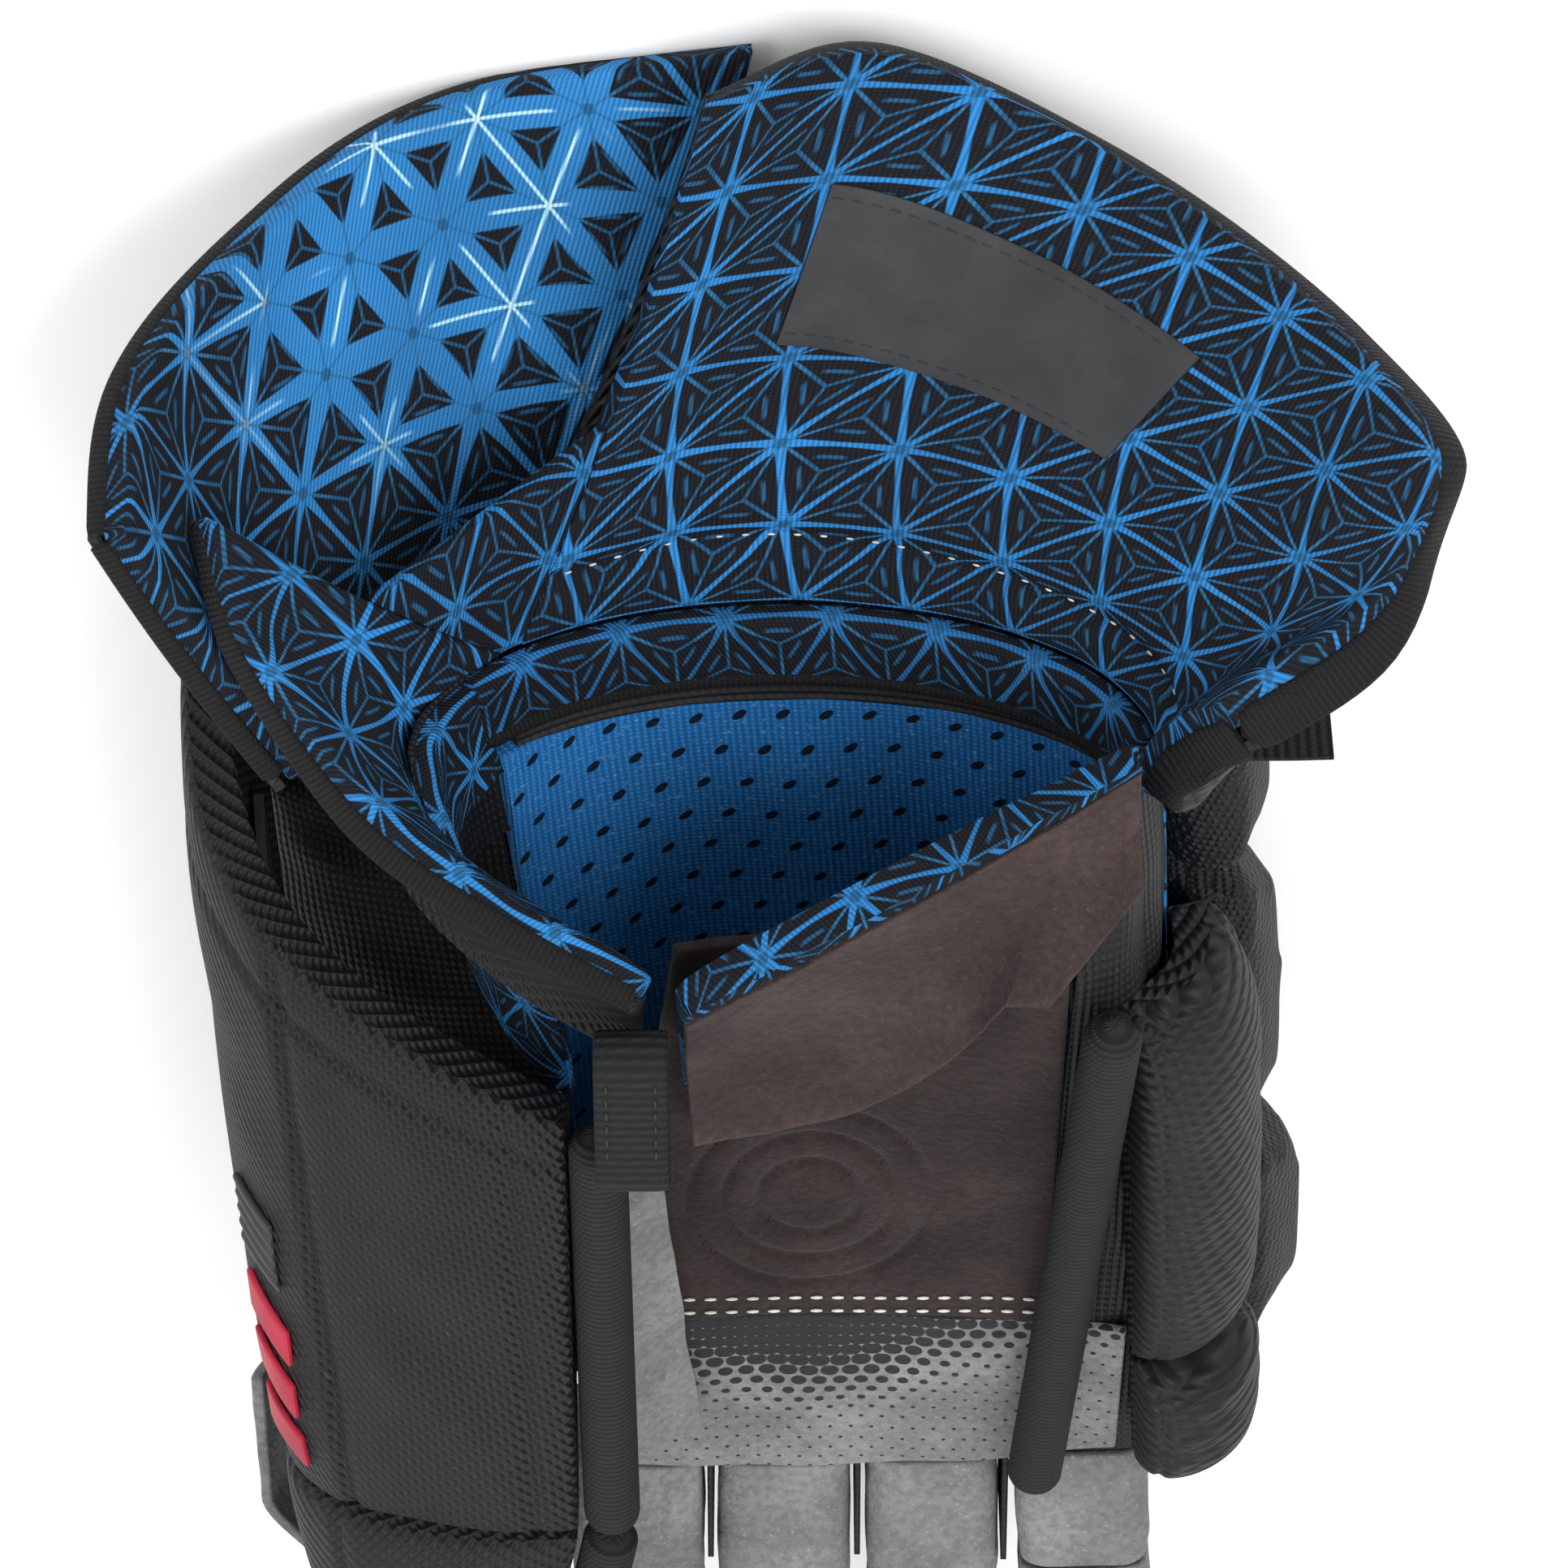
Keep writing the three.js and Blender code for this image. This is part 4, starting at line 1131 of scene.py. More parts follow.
@dataclass(frozen=True)
class PalmForm:
    """The palm's outer face, which drops towards the fingers and is cupped across."""

    start: float = -66.0
    end: float = 80.0
    heights: tuple[float, float] = (94.0, 60.0)
    cups: tuple[float, float] = (8.0, 1.5)
    middle_x: float = -8.0
    half_width: float = 42.0

    def height(self, x: float, y: float) -> float:
        """Return the height of the palm at a place."""
        t = (y - self.start) / (self.end - self.start)
        cup = lerp(*self.cups, min(max(t, 0.0), 1.0))
        return lerp(*self.heights, t) + cup * (((x - self.middle_x) / self.half_width) ** 2 - 1)

    def edge(self, x: float) -> float:
        """Return where the palm ends along the hand, which curves across the knuckles."""
        return self.end - 0.0028 * x**2

    def point(self, x: float, y: float, lift: float = 0.0) -> Vector:
        """Return the palm's point at a place, lifted off it."""
        return Vector((x, y, self.height(x, y) + lift))


PALM = PalmForm()
UNDER_PALM = Vector((PALM.middle_x, 0.0, 0.0))


@dataclass(frozen=True)
class ThumbForm:
    """The outer line of the thumb guard, from its low outer edge up and over to the palm side."""

    joint_y: float = 62.0
    end_y: float = 118.0
    inside: Vector = Vector((60.0, 0.0, 65.0))

    def line(self, y: float, u: float) -> Vector:
        """Return the point u of the way along the guard's section at a place along the hand.

        Args:
            y: the place along the hand.
            u: from 0 at the outer edge to 1 at the palm side.

        Returns:
            The point.
        """
        a = min(max((y - WRIST_Y) / (self.joint_y - WRIST_Y), 0.0), 1.0)
        b = min(max((y - self.joint_y) / (self.end_y - self.joint_y), 0.0), 1.0)

        def mix(wrist: float, joint: float, end: float) -> float:
            """Return a value at this place from those at the wrist, the joint and the end."""
            return lerp(lerp(wrist, joint, a), end, b)

        return bezier(
            (
                Vector((mix(90, 80, 70), y, mix(38, 52, 60))),
                Vector((mix(97, 92, 80), y, mix(92, 84, 84))),
                Vector((mix(80, 66, 62), y, mix(92, 92, 90))),
                Vector((mix(34, 33, 42), y, mix(104, 92, 86))),
            ),
            u,
        )


THUMB = ThumbForm()


def drape(x: float, y: float, size: float, deep: float) -> float:
    """Return a soft unevenness of cloth at a place, for waves of about that size."""
    return deep * noise.noise(Vector((x / size, y / size, size)))


def gully(x: float, middle: float, half: float) -> float:
    """Return 1 in the middle of a sewn channel, falling to 0 beside it."""
    return math.exp(-(((x - middle) / half) ** 2))


# ---------------------------------------------------------------- cuff


@dataclass
class Cuff:
    """The flared cuff: a back flap, a thumb flap, a wing and a palm tab, all lined with the print."""

    wardrobe: Wardrobe
    liner: float = 5.0
    plate: float = 1.2
    cover: float = 1.9
    gap: float = 0.7
    wing_liner: float = 3.4
    wing_cover: float = 1.6
    tab_liner: float = 2.6
    tab_suede: float = 1.6
    tab_drop: float = 0.16
    tab_lip: float = 4.6
    tab_across: tuple[float, float] = (-51, 15)
    tab_top: tuple[float, float] = (-109, -67)
    tab_foot: tuple[float, float] = (-93, -36)
    tab_bow: float = 15
    tab_rise: tuple[float, float] = (93, 101)
    label_across: tuple[float, float] = (0.175, 0.46)
    label_along: tuple[float, float] = (0.51, 0.79)
    puff: float = 1.1
    seam_at: float = 0.12
    seam_bow: float = 0.03

    def build(self) -> None:
        """Build the four parts of the cuff."""
        self.back_flap()
        self.thumb_flap()
        self.wing()
        self.tab()

    def lining_face(self, u: float, v: float) -> float:
        """Return the depth of the back flap's lining, which is puffed and sewn down at its seam."""
        rise = -self.puff * min(crown(u, v, 10), 1.0) + drape(u * 6, v * 3, 0.9, 0.8)
        return rise + 1.9 * gully(v, self.seam(u), 0.022)

    def seam(self, u: float) -> float:
        """Return how far up the back flap its lining's seam lies."""
        return self.seam_at + self.seam_bow * math.sin(math.pi * u)

    def edging(
        self,
        name: str,
        surface: Surface,
        inside: Vector,
        middle: float,
        half: tuple[float, float],
        body: str,
        sides: tuple[str, ...] = ("left", "rim", "right"),
        foot: float = 0.03,
    ) -> None:
        """Bind the named sides of a flap with black trim.

        Args:
            name: the start of the pieces' names.
            surface: the flap's surface.
            inside: the point that the flap's depths are counted away from.
            middle: the depth of the trim's middle.
            half: half the trim's thickness and half its height.
            body: the body that it rides on.
            sides: which sides are bound.
            foot: how far up the flap the trim begins.
        """
        runs = {
            "left": [(0.004, foot), (0.004, 0.5), (0.004, 0.985)],
            "rim": [(0.004, 0.985), (0.25, 0.99), (0.5, 0.99), (0.75, 0.99), (0.996, 0.985)],
            "right": [(0.996, foot), (0.996, 0.5), (0.996, 0.985)],
        }
        for side in sides:
            spine = along_surface(surface, inside, middle, runs[side])
            steps = 90 if side == "rim" else 40
            piece = tube(f"{name}_{side}", spine, half, steps, sides=14, power=2.8, dome=0.02)
            fit(piece, self.wardrobe.trim, body, "mesh")

    def back_form(self) -> Flap:
        """Return the back flap's shape."""
        return Flap(
            stations=(
                Station(12, 0, 77, 24),
                Station(-12, 0, 83, 28),
                Station(-45, 7, 70, 32),
                Station(-70, 27, 60, 16),
                Station(-88, 37, 54, 2),
                Station(-105, 34, 38, 1),
                Station(-119, 14, 19, 0),
            ),
            angles=(46, -112),
            places=(WRIST_Y - 2.5, WRIST_Y - 2.5),
            lift=0,
            belly=-3,
        )

    def back_flap(self) -> None:
        """Build the back flap: its lining, cover, trim, label and seam tufts, with room for the stiffener
        between lining and cover.
        """
        flap = self.back_form()
        face, inside = flap.surface(), flap.inside
        lining = sheet("back_flap_lining", face, (96, 48), inside, self.lining_face, self.liner, rim=1.6)
        fit(lining, self.wardrobe.print, "cuff_back", "liner", "cuff_back_liner")
        near = self.liner + self.plate + 2 * self.gap
        outer = partial(self.cover_face, near + self.cover)
        cover = sheet("back_flap_cover", face, (64, 32), inside, near, outer, rim=0.8)
        fit(cover, self.wardrobe.flap_mesh, "cuff_back", "mesh", "cuff_back_cover")
        depth = near + self.cover
        half = (1.1, depth / 2 - 1.0)
        self.edging("back_flap_trim", face, inside, depth / 2 + 1.8, half, "cuff_back", ("rim", "right"))

        def on_flap(u: float, v: float) -> tuple[float, float]:
            """Return the flap's own place for a place on the label."""
            return lerp(*self.label_across, u), lerp(*self.label_along, v)

        def patch(u: float, v: float) -> Vector:
            """Return a point of the flap under the label."""
            return face(*on_flap(u, v))

        def patch_depth(extra: float, u: float, v: float) -> float:
            """Return the depth of the lining under the label, less the extra."""
            return self.lining_face(*on_flap(u, v)) - extra

        foot, top = partial(patch_depth, 0.55), partial(patch_depth, -0.2)
        label = sheet("size_label", patch, (36, 14), inside, foot, top, rim=0.2)
        fit(label, self.wardrobe.label, "cuff_back", "label", "cuff_label")
        sunk = partial(patch_depth, 0.6)
        border = [along_surface(patch, inside, sunk, [(0.03, v), (0.5, v), (0.97, v)]) for v in (0.08, 0.92)]
        rows = [lambda t, spine=spine: spine(t)[0] for spine in border]
        fit(stitches("label_stitches", rows, 2.0, 0.9, 0.16), self.wardrobe.dark_thread, "cuff_back", "label")

        def tuft_line(t: float) -> Vector:
            """Return a point of the lining's seam at t."""
            v = self.seam(t)
            return face(t, v) + normal_at(face, t, v, inside) * (self.lining_face(t, v) - 0.25)

        tufts = stitches("liner_seam_stitches", [lambda t: tuft_line(lerp(0.03, 0.97, t))], 1.3, 2.6, 0.2)
        fit(tufts, self.wardrobe.thread, "cuff_back", "liner")

    def cover_face(self, depth: float, u: float, v: float) -> float:
        """Return the depth of a cover's outer face, with its quilted rows."""
        return depth + 0.35 * crown(u, v, 8) - 0.45 * gully((v * 5) % 1.0, 0.5, 0.06)

    def thumb_flap(self) -> None:
        """Build the thumb-side flap behind the back flap, in the brighter print."""
        flap = Flap(
            stations=(
                Station(4, 0, 74, 27),
                Station(40, 8, 68, 31),
                Station(62, 15, 62, 24),
                Station(78, 25, 52, 15),
                Station(94, 26, 40, 8),
            ),
            angles=(22, 92),
            places=(WRIST_Y - 0.2, WRIST_Y - 0.2),
            lift=self.liner + self.plate + self.cover + 3 * self.gap + 4,
            belly=1,
        )
        face, inside = flap.surface(), flap.inside

        def puffed(u: float, v: float) -> float:
            """Return the depth of the lining, which is full in the middle."""
            return -1.2 * crown(u, v, 8) + drape(u * 4, v * 3, 0.8, 0.9)

        lining = sheet("thumb_flap_lining", face, (64, 44), inside, puffed, self.liner, rim=1.6)
        fit(lining, self.wardrobe.flooded_print, "cuff_thumb", "liner", "cuff_thumb_liner")
        near = self.liner + self.gap
        outer = partial(self.cover_face, near + self.cover)
        cover = sheet("thumb_flap_cover", face, (44, 32), inside, near, outer, rim=0.8)
        fit(cover, self.wardrobe.flap_mesh, "cuff_thumb", "mesh", "cuff_thumb_cover")
        depth = near + self.cover
        self.edging("thumb_flap_trim", face, inside, depth / 2 + 2.3, (0.9, depth / 2 - 1.8), "cuff_thumb")

    def wing(self) -> None:
        """Build the wing, which closes the cuff from the thumb round to the palm."""
        flap = Flap(
            stations=(
                Station(84, 28, 40, 4),
                Station(104, 24, 26, 3),
                Station(122, 13, 2, -1),
                Station(138, 4, -11, -2),
                Station(156, -3, -23, -3),
            ),
            angles=(50, 153),
            places=(WRIST_Y - 1, -48),
            lift=1,
            belly=-4.6,
        )
        face, inside = flap.surface(), flap.inside

        def puffed(u: float, v: float) -> float:
            """Return the depth of the lining, which is full in the middle."""
            return -1.0 * crown(u, v, 8) + drape(u * 6, v * 3, 0.7, 0.9)

        lining = sheet("wing_lining", face, (72, 36), inside, puffed, self.wing_liner, rim=1.4)
        fit(lining, self.wardrobe.print, "cuff_wing", "liner", "cuff_wing_liner")
        near = self.wing_liner + self.gap

        def banded(u: float, v: float) -> float:
            """Return the depth of the cover, which has a raised band at its rim."""
            return near + self.wing_cover - 0.5 * gully(v, 0.72, 0.03) + 0.5 * smooth(v, 0.72, 0.8)

        cover = sheet("wing_cover", face, (56, 32), inside, near, banded, rim=0.7)
        fit(cover, self.wardrobe.shell_mesh, "cuff_wing", "mesh", "cuff_wing_cover")
        depth = near + self.wing_cover
        half = (1.0, depth / 2 - 0.8)
        self.edging("wing_trim", face, inside, depth / 2 + 1.4, half, "cuff_wing", ("rim", "right"))
        back = self.back_form().surface()

        def corner(u: float, v: float) -> Vector:
            """Return a point between the back flap's corner and the wing's."""
            return back(0.0, 0.42 * v).lerp(face(0.0, 0.5 * v), u)

        bridge = sheet("cuff_corner_lining", corner, (24, 24), inside, 0.4, 2.6, rim=0.5)
        fit(bridge, self.wardrobe.print, "cuff_wing", "liner")

    def tab(self) -> None:
        """Build the palm tab: brown suede on a printed lining that rolls over its top edge."""

        def face(u: float, v: float) -> Vector:
            """Return a point of the tab's upper face."""
            x = lerp(*self.tab_across, u)
            top = lerp(*self.tab_top, u)
            foot = lerp(*self.tab_foot, u) + self.tab_bow * math.sin(math.pi * u)
            rise = lerp(*self.tab_rise, u)
            seat = min(PALM.height(x, foot) + self.tab_liner + self.gap, rise)
            return Vector((x, lerp(foot, top, v), lerp(seat, rise, v)))

        inside = Vector((-20.0, -70.0, 0.0))

        def under(u: float, v: float) -> float:
            """Return the depth of the under side, which is full near the top edge."""
            return -self.tab_liner - 1.6 * smooth(v, 0.55, 0.95) * crown(u, 0.5, 8)

        def over(u: float, v: float) -> float:
            """Return the depth of the upper side, which rolls over at the top edge."""
            return 1.9 * smooth(v, 0.88, 0.93) + drape(u * 8, v, 0.6, 0.4) * smooth(v, 0.88, 1.0)

        lining = sheet("palm_tab_lining", face, (64, 40), inside, under, over, rim=1.5)
        fit(lining, self.wardrobe.print, "palm_tab", "liner", "palm_tab_liner")

        def cut(u: float, v: float) -> Vector:
            """Return a point of the suede, which is cut to its own length."""
            return face(u, lerp(-self.tab_drop, 0.9, v))

        def lift(u: float, v: float) -> float:
            """Return how far the suede stands off, most at its free lip."""
            return self.gap * 0.6 + self.tab_lip * smooth(v, 0.5, 0.0) if v < 0.5 else self.gap * 0.6

        def nap(u: float, v: float) -> float:
            """Return the depth of the suede's outer side, with its seams and its lip."""
            sewn = 0.45 * gully(v, 0.07, 0.02) + 0.3 * gully(v, 0.93, 0.02)
            lip = 1.5 * smooth(v, 0.16, 0.02)
            return lift(u, v) + self.tab_suede + lip + drape(u * 7, v * 3, 0.8, 0.35) - sewn

        suede = sheet("palm_tab_suede_face", cut, (80, 36), inside, lift, nap, rim=0.8)
        fit(suede, self.wardrobe.tab_suede, "palm_tab", "brown_suede", "palm_tab_suede")


# ---------------------------------------------------------------- back and sides of the hand


@dataclass
class Hand:
    """The hand's body: rolls on the back, linings, palm, side guards and bindings."""

    wardrobe: Wardrobe
    lining: float = 3.0
    leather: float = 2.2
    ulnar: float = -80.0
    radial: float = 55.0
    piping: float = 4.5
    heel_along: tuple[float, float] = (-66, 34)
    heel_left: float = -42
    heel_right: tuple[float, float] = (16, 28)
    heel_rings: tuple[float, ...] = (8.0, 13.5, 19.0)
    palm_across: tuple[float, float] = (-54.5, 33)
    palm_start: float = 34.6
    cross_rows: tuple[float, ...] = (26.5, 30.2)
    cross_across: tuple[float, float] = (-39, 24)
    edge_row: tuple[float, float] = (0.3, 0.95)
    binding_stops: tuple[float, ...] = (-58, -30, -2, 26, 52, 75)

    def build(self) -> None:
        """Build every part of the hand."""
        self.rolls()
        self.linings()
        self.wrist_band()
        self.palm()
        self.sides()
        self.web_and_tag()

    def rolls(self) -> None:
        """Stuff the three rolls and dress the stiffeners under them."""
        for roll in ("wrist", "upper", "knuckle"):
            node = f"backhand_{roll}_roll"
            pad = stuffed(f"{roll}_roll", node, Stuffing(voxel=3.0, cap=2.6, fill=0.85))
            fit(pad, self.wardrobe.pad_mesh, "hand", "mesh", node)
            dress(f"backhand_{roll}_plate", self.wardrobe.stiffener)

    def linings(self) -> None:
        """Build the blue perforated lining that the back of the hand lies on."""
        face = FORM.patch((self.ulnar, self.radial), (WRIST_Y + 19, KNUCKLE_Y + 1))

        def soft(u: float, v: float) -> float:
            """Return the depth of the lining, with its folds."""
            folds = 1.6 * gully(u, 0.62 - 0.25 * v, 0.07) + 1.2 * gully(u, 0.33 + 0.2 * v, 0.06)
            return 0.6 + drape(u * 6, v * 5, 0.9, 1.3) - folds * smooth(v, 0, 0.12)

        lining = sheet("hand_lining", face, (80, 80), Vector((-7, 0, 70)), soft, self.lining, rim=0.4)
        fit(lining, self.wardrobe.perforated, "hand", "lining", "back_lining")
        stretched(lining, face)

    def wrist_band(self) -> None:
        """Build the padded band inside the wrist, the linings beside it and the ribbed elastic below it."""
        inside = Vector((0, WRIST_Y, 70))
        face = FORM.patch((-86, 62), (WRIST_Y - 2, WRIST_Y + 11))

        def puffed(u: float, v: float) -> float:
            """Return the depth of the band, which is full in the middle."""
            return -2.6 - 1.2 * crown(u, v, 4) + drape(u * 8, v, 0.8, 0.5)

        band = sheet("wrist_band", face, (90, 14), inside, puffed, 0.2, rim=1.0)
        # The band takes the darker copy of the star print: painted shade inside the wrist.
        fit(band, self.wardrobe.shaded_print, "hand", "liner")
        path = [(u, 0.97) for u in (0.0, 0.25, 0.5, 0.75, 1.0)]
        spine = along_surface(face, inside, -1.9, path)
        binding = tube("wrist_band_binding", spine, (1.5, 2.3), 90, power=2.4, dome=0.02)
        fit(binding, self.wardrobe.trim, "hand", "webbing")

        def padded_throat(u: float, v: float) -> float:
            """Return the depth of the throat lining, which is full in the middle."""
            return -2.2 - 0.9 * crown(u, v, 6) + drape(u * 5, v * 3, 0.8, 0.8)

        middle = Vector((0, -60, 70))
        lining = sheet("throat_lining", self.throat, (64, 36), middle, padded_throat, 0.2, rim=1.0)
        fit(lining, self.wardrobe.print, "hand", "liner")
        middle = Vector((0, -70, 70))
        for side, angles, places, near in (
            ("thumb", (56.5, 96), (-97, -60), 0.0),
            ("little_finger", (-80.4, -142), (-96, -50), -2.6),
        ):
            wall = FORM.patch(angles, places)
            panel = sheet(f"{side}_side_panel", wall, (40, 24), middle, near, self.panel_face, rim=0.4)
            fit(panel, self.wardrobe.knit, "hand", "soft_mesh")
            stretched(panel, wall)
        strip = FORM.patch((-76, 50), (WRIST_Y + 8.8, WRIST_Y + 20.0))

        def ribbed(u: float, v: float) -> float:
            """Return the depth of the elastic, with its ribs."""
            return 0.6 + 0.35 * math.sin(v * 46)

        elastic = sheet("wrist_elastic_strip", strip, (80, 22), inside, ribbed, 2.6, rim=0.3)
        fit(elastic, self.wardrobe.elastic, "hand", "webbing", "wrist_elastic")
        stretched(elastic, strip)

    def throat(self, u: float, v: float) -> Vector:
        """Return a point of the lining that goes from under the wing down into the hand."""
        angle = lerp(58, 136, u)
        start = lerp(-96, -62, smooth(u, 0.3, 1.0))
        return FORM.point(angle, lerp(start, start + lerp(20, 34, u), v))

    def panel_face(self, u: float, v: float) -> float:
        """Return the depth of a side panel's outer face."""
        return 0.9 + drape(u * 3, v * 3, 0.8, 0.4)

    def palm(self) -> None:
        """Build the brown heel patch with its pressed rings, the printed palm and their stitches."""

        def heel(u: float, v: float) -> Vector:
            """Return a point of the heel patch."""
            y = lerp(*self.heel_along, v)
            x = lerp(self.heel_left, lerp(*self.heel_right, v), u)
            return PALM.point(x, y)

        def pressed(u: float, v: float) -> float:
            """Return the depth of the heel patch, with its pressed rings."""
            spot = heel(u, v)
            away = math.hypot(spot.x + 4, (spot.y - 1) * 0.8)
            rings = sum(gully(away, ring, 0.75) for ring in self.heel_rings)
            edge = 0.25 * crown(u, v, 16)
            return -0.25 + edge - 1.0 * rings + drape(spot.x, spot.y, 22, 0.7)

        patch = sheet("heel_patch", heel, (96, 128), UNDER_PALM, -self.leather, pressed, rim=0.5)
        # The heel patch takes the darker suede: painted shade below the palm tab.
        fit(patch, self.wardrobe.brown_suede, "hand", "brown_suede", "palm_heel_patch")

        def palm(u: float, v: float) -> Vector:
            """Return a point of the palm panel."""
            x = lerp(*self.palm_across, u)
            return PALM.point(x, lerp(self.palm_start, PALM.edge(x), v))

        def creased(u: float, v: float) -> float:
            """Return the depth of the palm panel, with its creases."""
            return drape(u * 5, v * 3, 0.8, 0.9) - 0.3

        panel = sheet("palm_grip", palm, (80, 44), UNDER_PALM, -self.leather, creased, rim=0.5)
        fit(panel, self.wardrobe.grip_suede, "hand", "suede", "palm_panel")

        def across(y: float, t: float) -> Vector:
            """Return a point of a row of stitches across the palm."""
            x = lerp(*self.cross_across, t)
            return PALM.point(x, y + 2.0 * math.sin(math.pi * t), 0.35 + drape(x, y, 22, 0.7))

        def beside(t: float) -> Vector:
            """Return a point of the row along the heel patch's thumb side."""
            v = lerp(*self.edge_row, t)
            return PALM.point(lerp(16.5, 26.0, v) - 1.2, lerp(*self.heel_along, v), 0.45)

        rows = [partial(across, y) for y in self.cross_rows] + [beside]
        fit(stitches("palm_stitches", rows, 2.3, 1.1, 0.3), self.wardrobe.thread, "hand", "suede")

    def sides(self) -> None:
        """Stuff the guards on the little-finger side and lay the rolled binding beside them."""
        for guard, places in (("side_guard_upper", (-54, 37)), ("side_guard_lower", (40, 68))):
            face = FORM.patch((self.ulnar - 0.5, -124), places)

            def full(u: float, v: float) -> float:
                """Return the depth of a guard, with its sewn channels."""
                rise = 7 + 10 * lerp(0.2, 1.0, crown(u, v, 5)) - 3 * u
                sewn = rise - 1.0 * gully(u, 0.12, 0.03) - 0.8 * gully(u, 0.86, 0.03)
                return sewn + drape(u * 3, v * 5, 0.8, 0.5)

            pad = sheet(f"{guard}_pad", face, (44, 72), Vector((-7, 0, 70)), 2.6, full, rim=1.6)
            fit(pad, self.wardrobe.shell_mesh, "hand", "mesh", guard)
        line = [
            Vector((lerp(-49, -41, (y + 58) / 132), y, PALM.height(-45, y) + self.piping + 0.3))
            for y in self.binding_stops
        ]
        roll = tube("side_binding", along_line(line, UPWARDS), (self.piping, self.piping), 150, 20, dome=0.03)
        fit(roll, self.wardrobe.binding, "hand", "webbing", "side_piping")

        def wall(u: float, v: float) -> Vector:
            """Return a point of the wall between the palm and the rolls."""
            y = lerp(-92, 74, v)
            top = PALM.point(lerp(-44, -40, v), max(y, -62), -0.6)
            foot = FORM.point(-81.4, y, 2.5)
            shoulder = FORM.point(-118, y, 4.5)
            return bezier((Vector((top.x, y, top.z)), Vector((shoulder.x, y, top.z)), shoulder, foot), u)

        def folds(side: float, u: float, v: float) -> float:
            """Return the depth of one side of the wall, with its folds."""
            return side + drape(u * 3, v * 9, 0.7, 0.8)

        inside = Vector((-20, 0, 60))
        cover = sheet("side_wall", wall, (20, 80), inside, partial(folds, -1.6), partial(folds, 0.0), rim=0.4)
        fit(cover, self.wardrobe.knit, "hand", "soft_mesh")
        stretched(cover, wall)
        seam = [point + Vector((-3.6, 0, -1.6)) for point in line]
        ridge = tube("side_binding_seam", along_line(seam, UPWARDS), (1.1, 1.1), 120, 8, dome=0.01)
        fit(ridge, self.wardrobe.trim, "hand", "webbing")

    def web_and_tag(self) -> None:
        """Build the thumb web, the hinge gusset and the blank fabric tag."""
        web = FORM.patch((self.radial + 0.7, 100), (14, 66))
        inside = Vector((-7, 40, 60))

        def slack(u: float, v: float) -> float:
            """Return the depth of the web, which is a little loose."""
            return 0.3 + drape(u * 4, v * 4, 0.9, 1.0)

        piece = sheet("thumb_web_panel", web, (32, 30), inside, slack, self.lining, rim=0.5)
        fit(piece, self.wardrobe.knit, "hand", "soft_mesh", "thumb_web")
        stretched(piece, web)

        def hinge(u: float, v: float) -> Vector:
            """Return a point of the panel between the rolls and the thumb's hinge."""
            y = lerp(WRIST_Y + 12, 24, v)
            start = FORM.point(self.radial + 1.5, y, 2)
            end = Vector((88 - 3.5, y, 33 + 1))
            return bezier((start, Vector((lerp(start.x, end.x, 0.75), y, start.z)), end), u)

        def creased(u: float, v: float) -> float:
            """Return the depth of the hinge panel, with its creases."""
            return -1 + drape(u * 3, v * 8, 0.7, 0.6)

        above = Vector((90, 0, 90))
        gusset = sheet("thumb_hinge_panel", hinge, (24, 50), above, creased, 1, rim=0.4)
        fit(gusset, self.wardrobe.knit, "hand", "soft_mesh", "thumb_hinge_gusset")
        stretched(gusset, hinge)

        def tag(u: float, v: float) -> Vector:
            """Return a point of the tag, which sways a little."""
            sway = 0.25 * math.sin(3 * u) * v
            return Vector((lerp(-80.5, -63.5, u), WRIST_Y + 0.6 + sway, lerp(63, 77, v)))

        label = sheet("side_tag", tag, (24, 16), Vector((-72, 0, 70)), -0.4, 0.4, rim=0.15)
        fit(label, self.wardrobe.webbing, "hand", "webbing", "fabric_tag")


# ---------------------------------------------------------------- fingers


@dataclass(frozen=True)
class Finger:
    """One finger stall: its place across the palm, its knuckle, splay and three lengths."""

    name: str
    x: float
    knuckle_y: float
    splay: float
    lengths: tuple[float, float, float]

    def body(self, order: int) -> str:
        """Return the body that a segment of this finger rides on."""
        return f"{self.name}_segment_{order}"


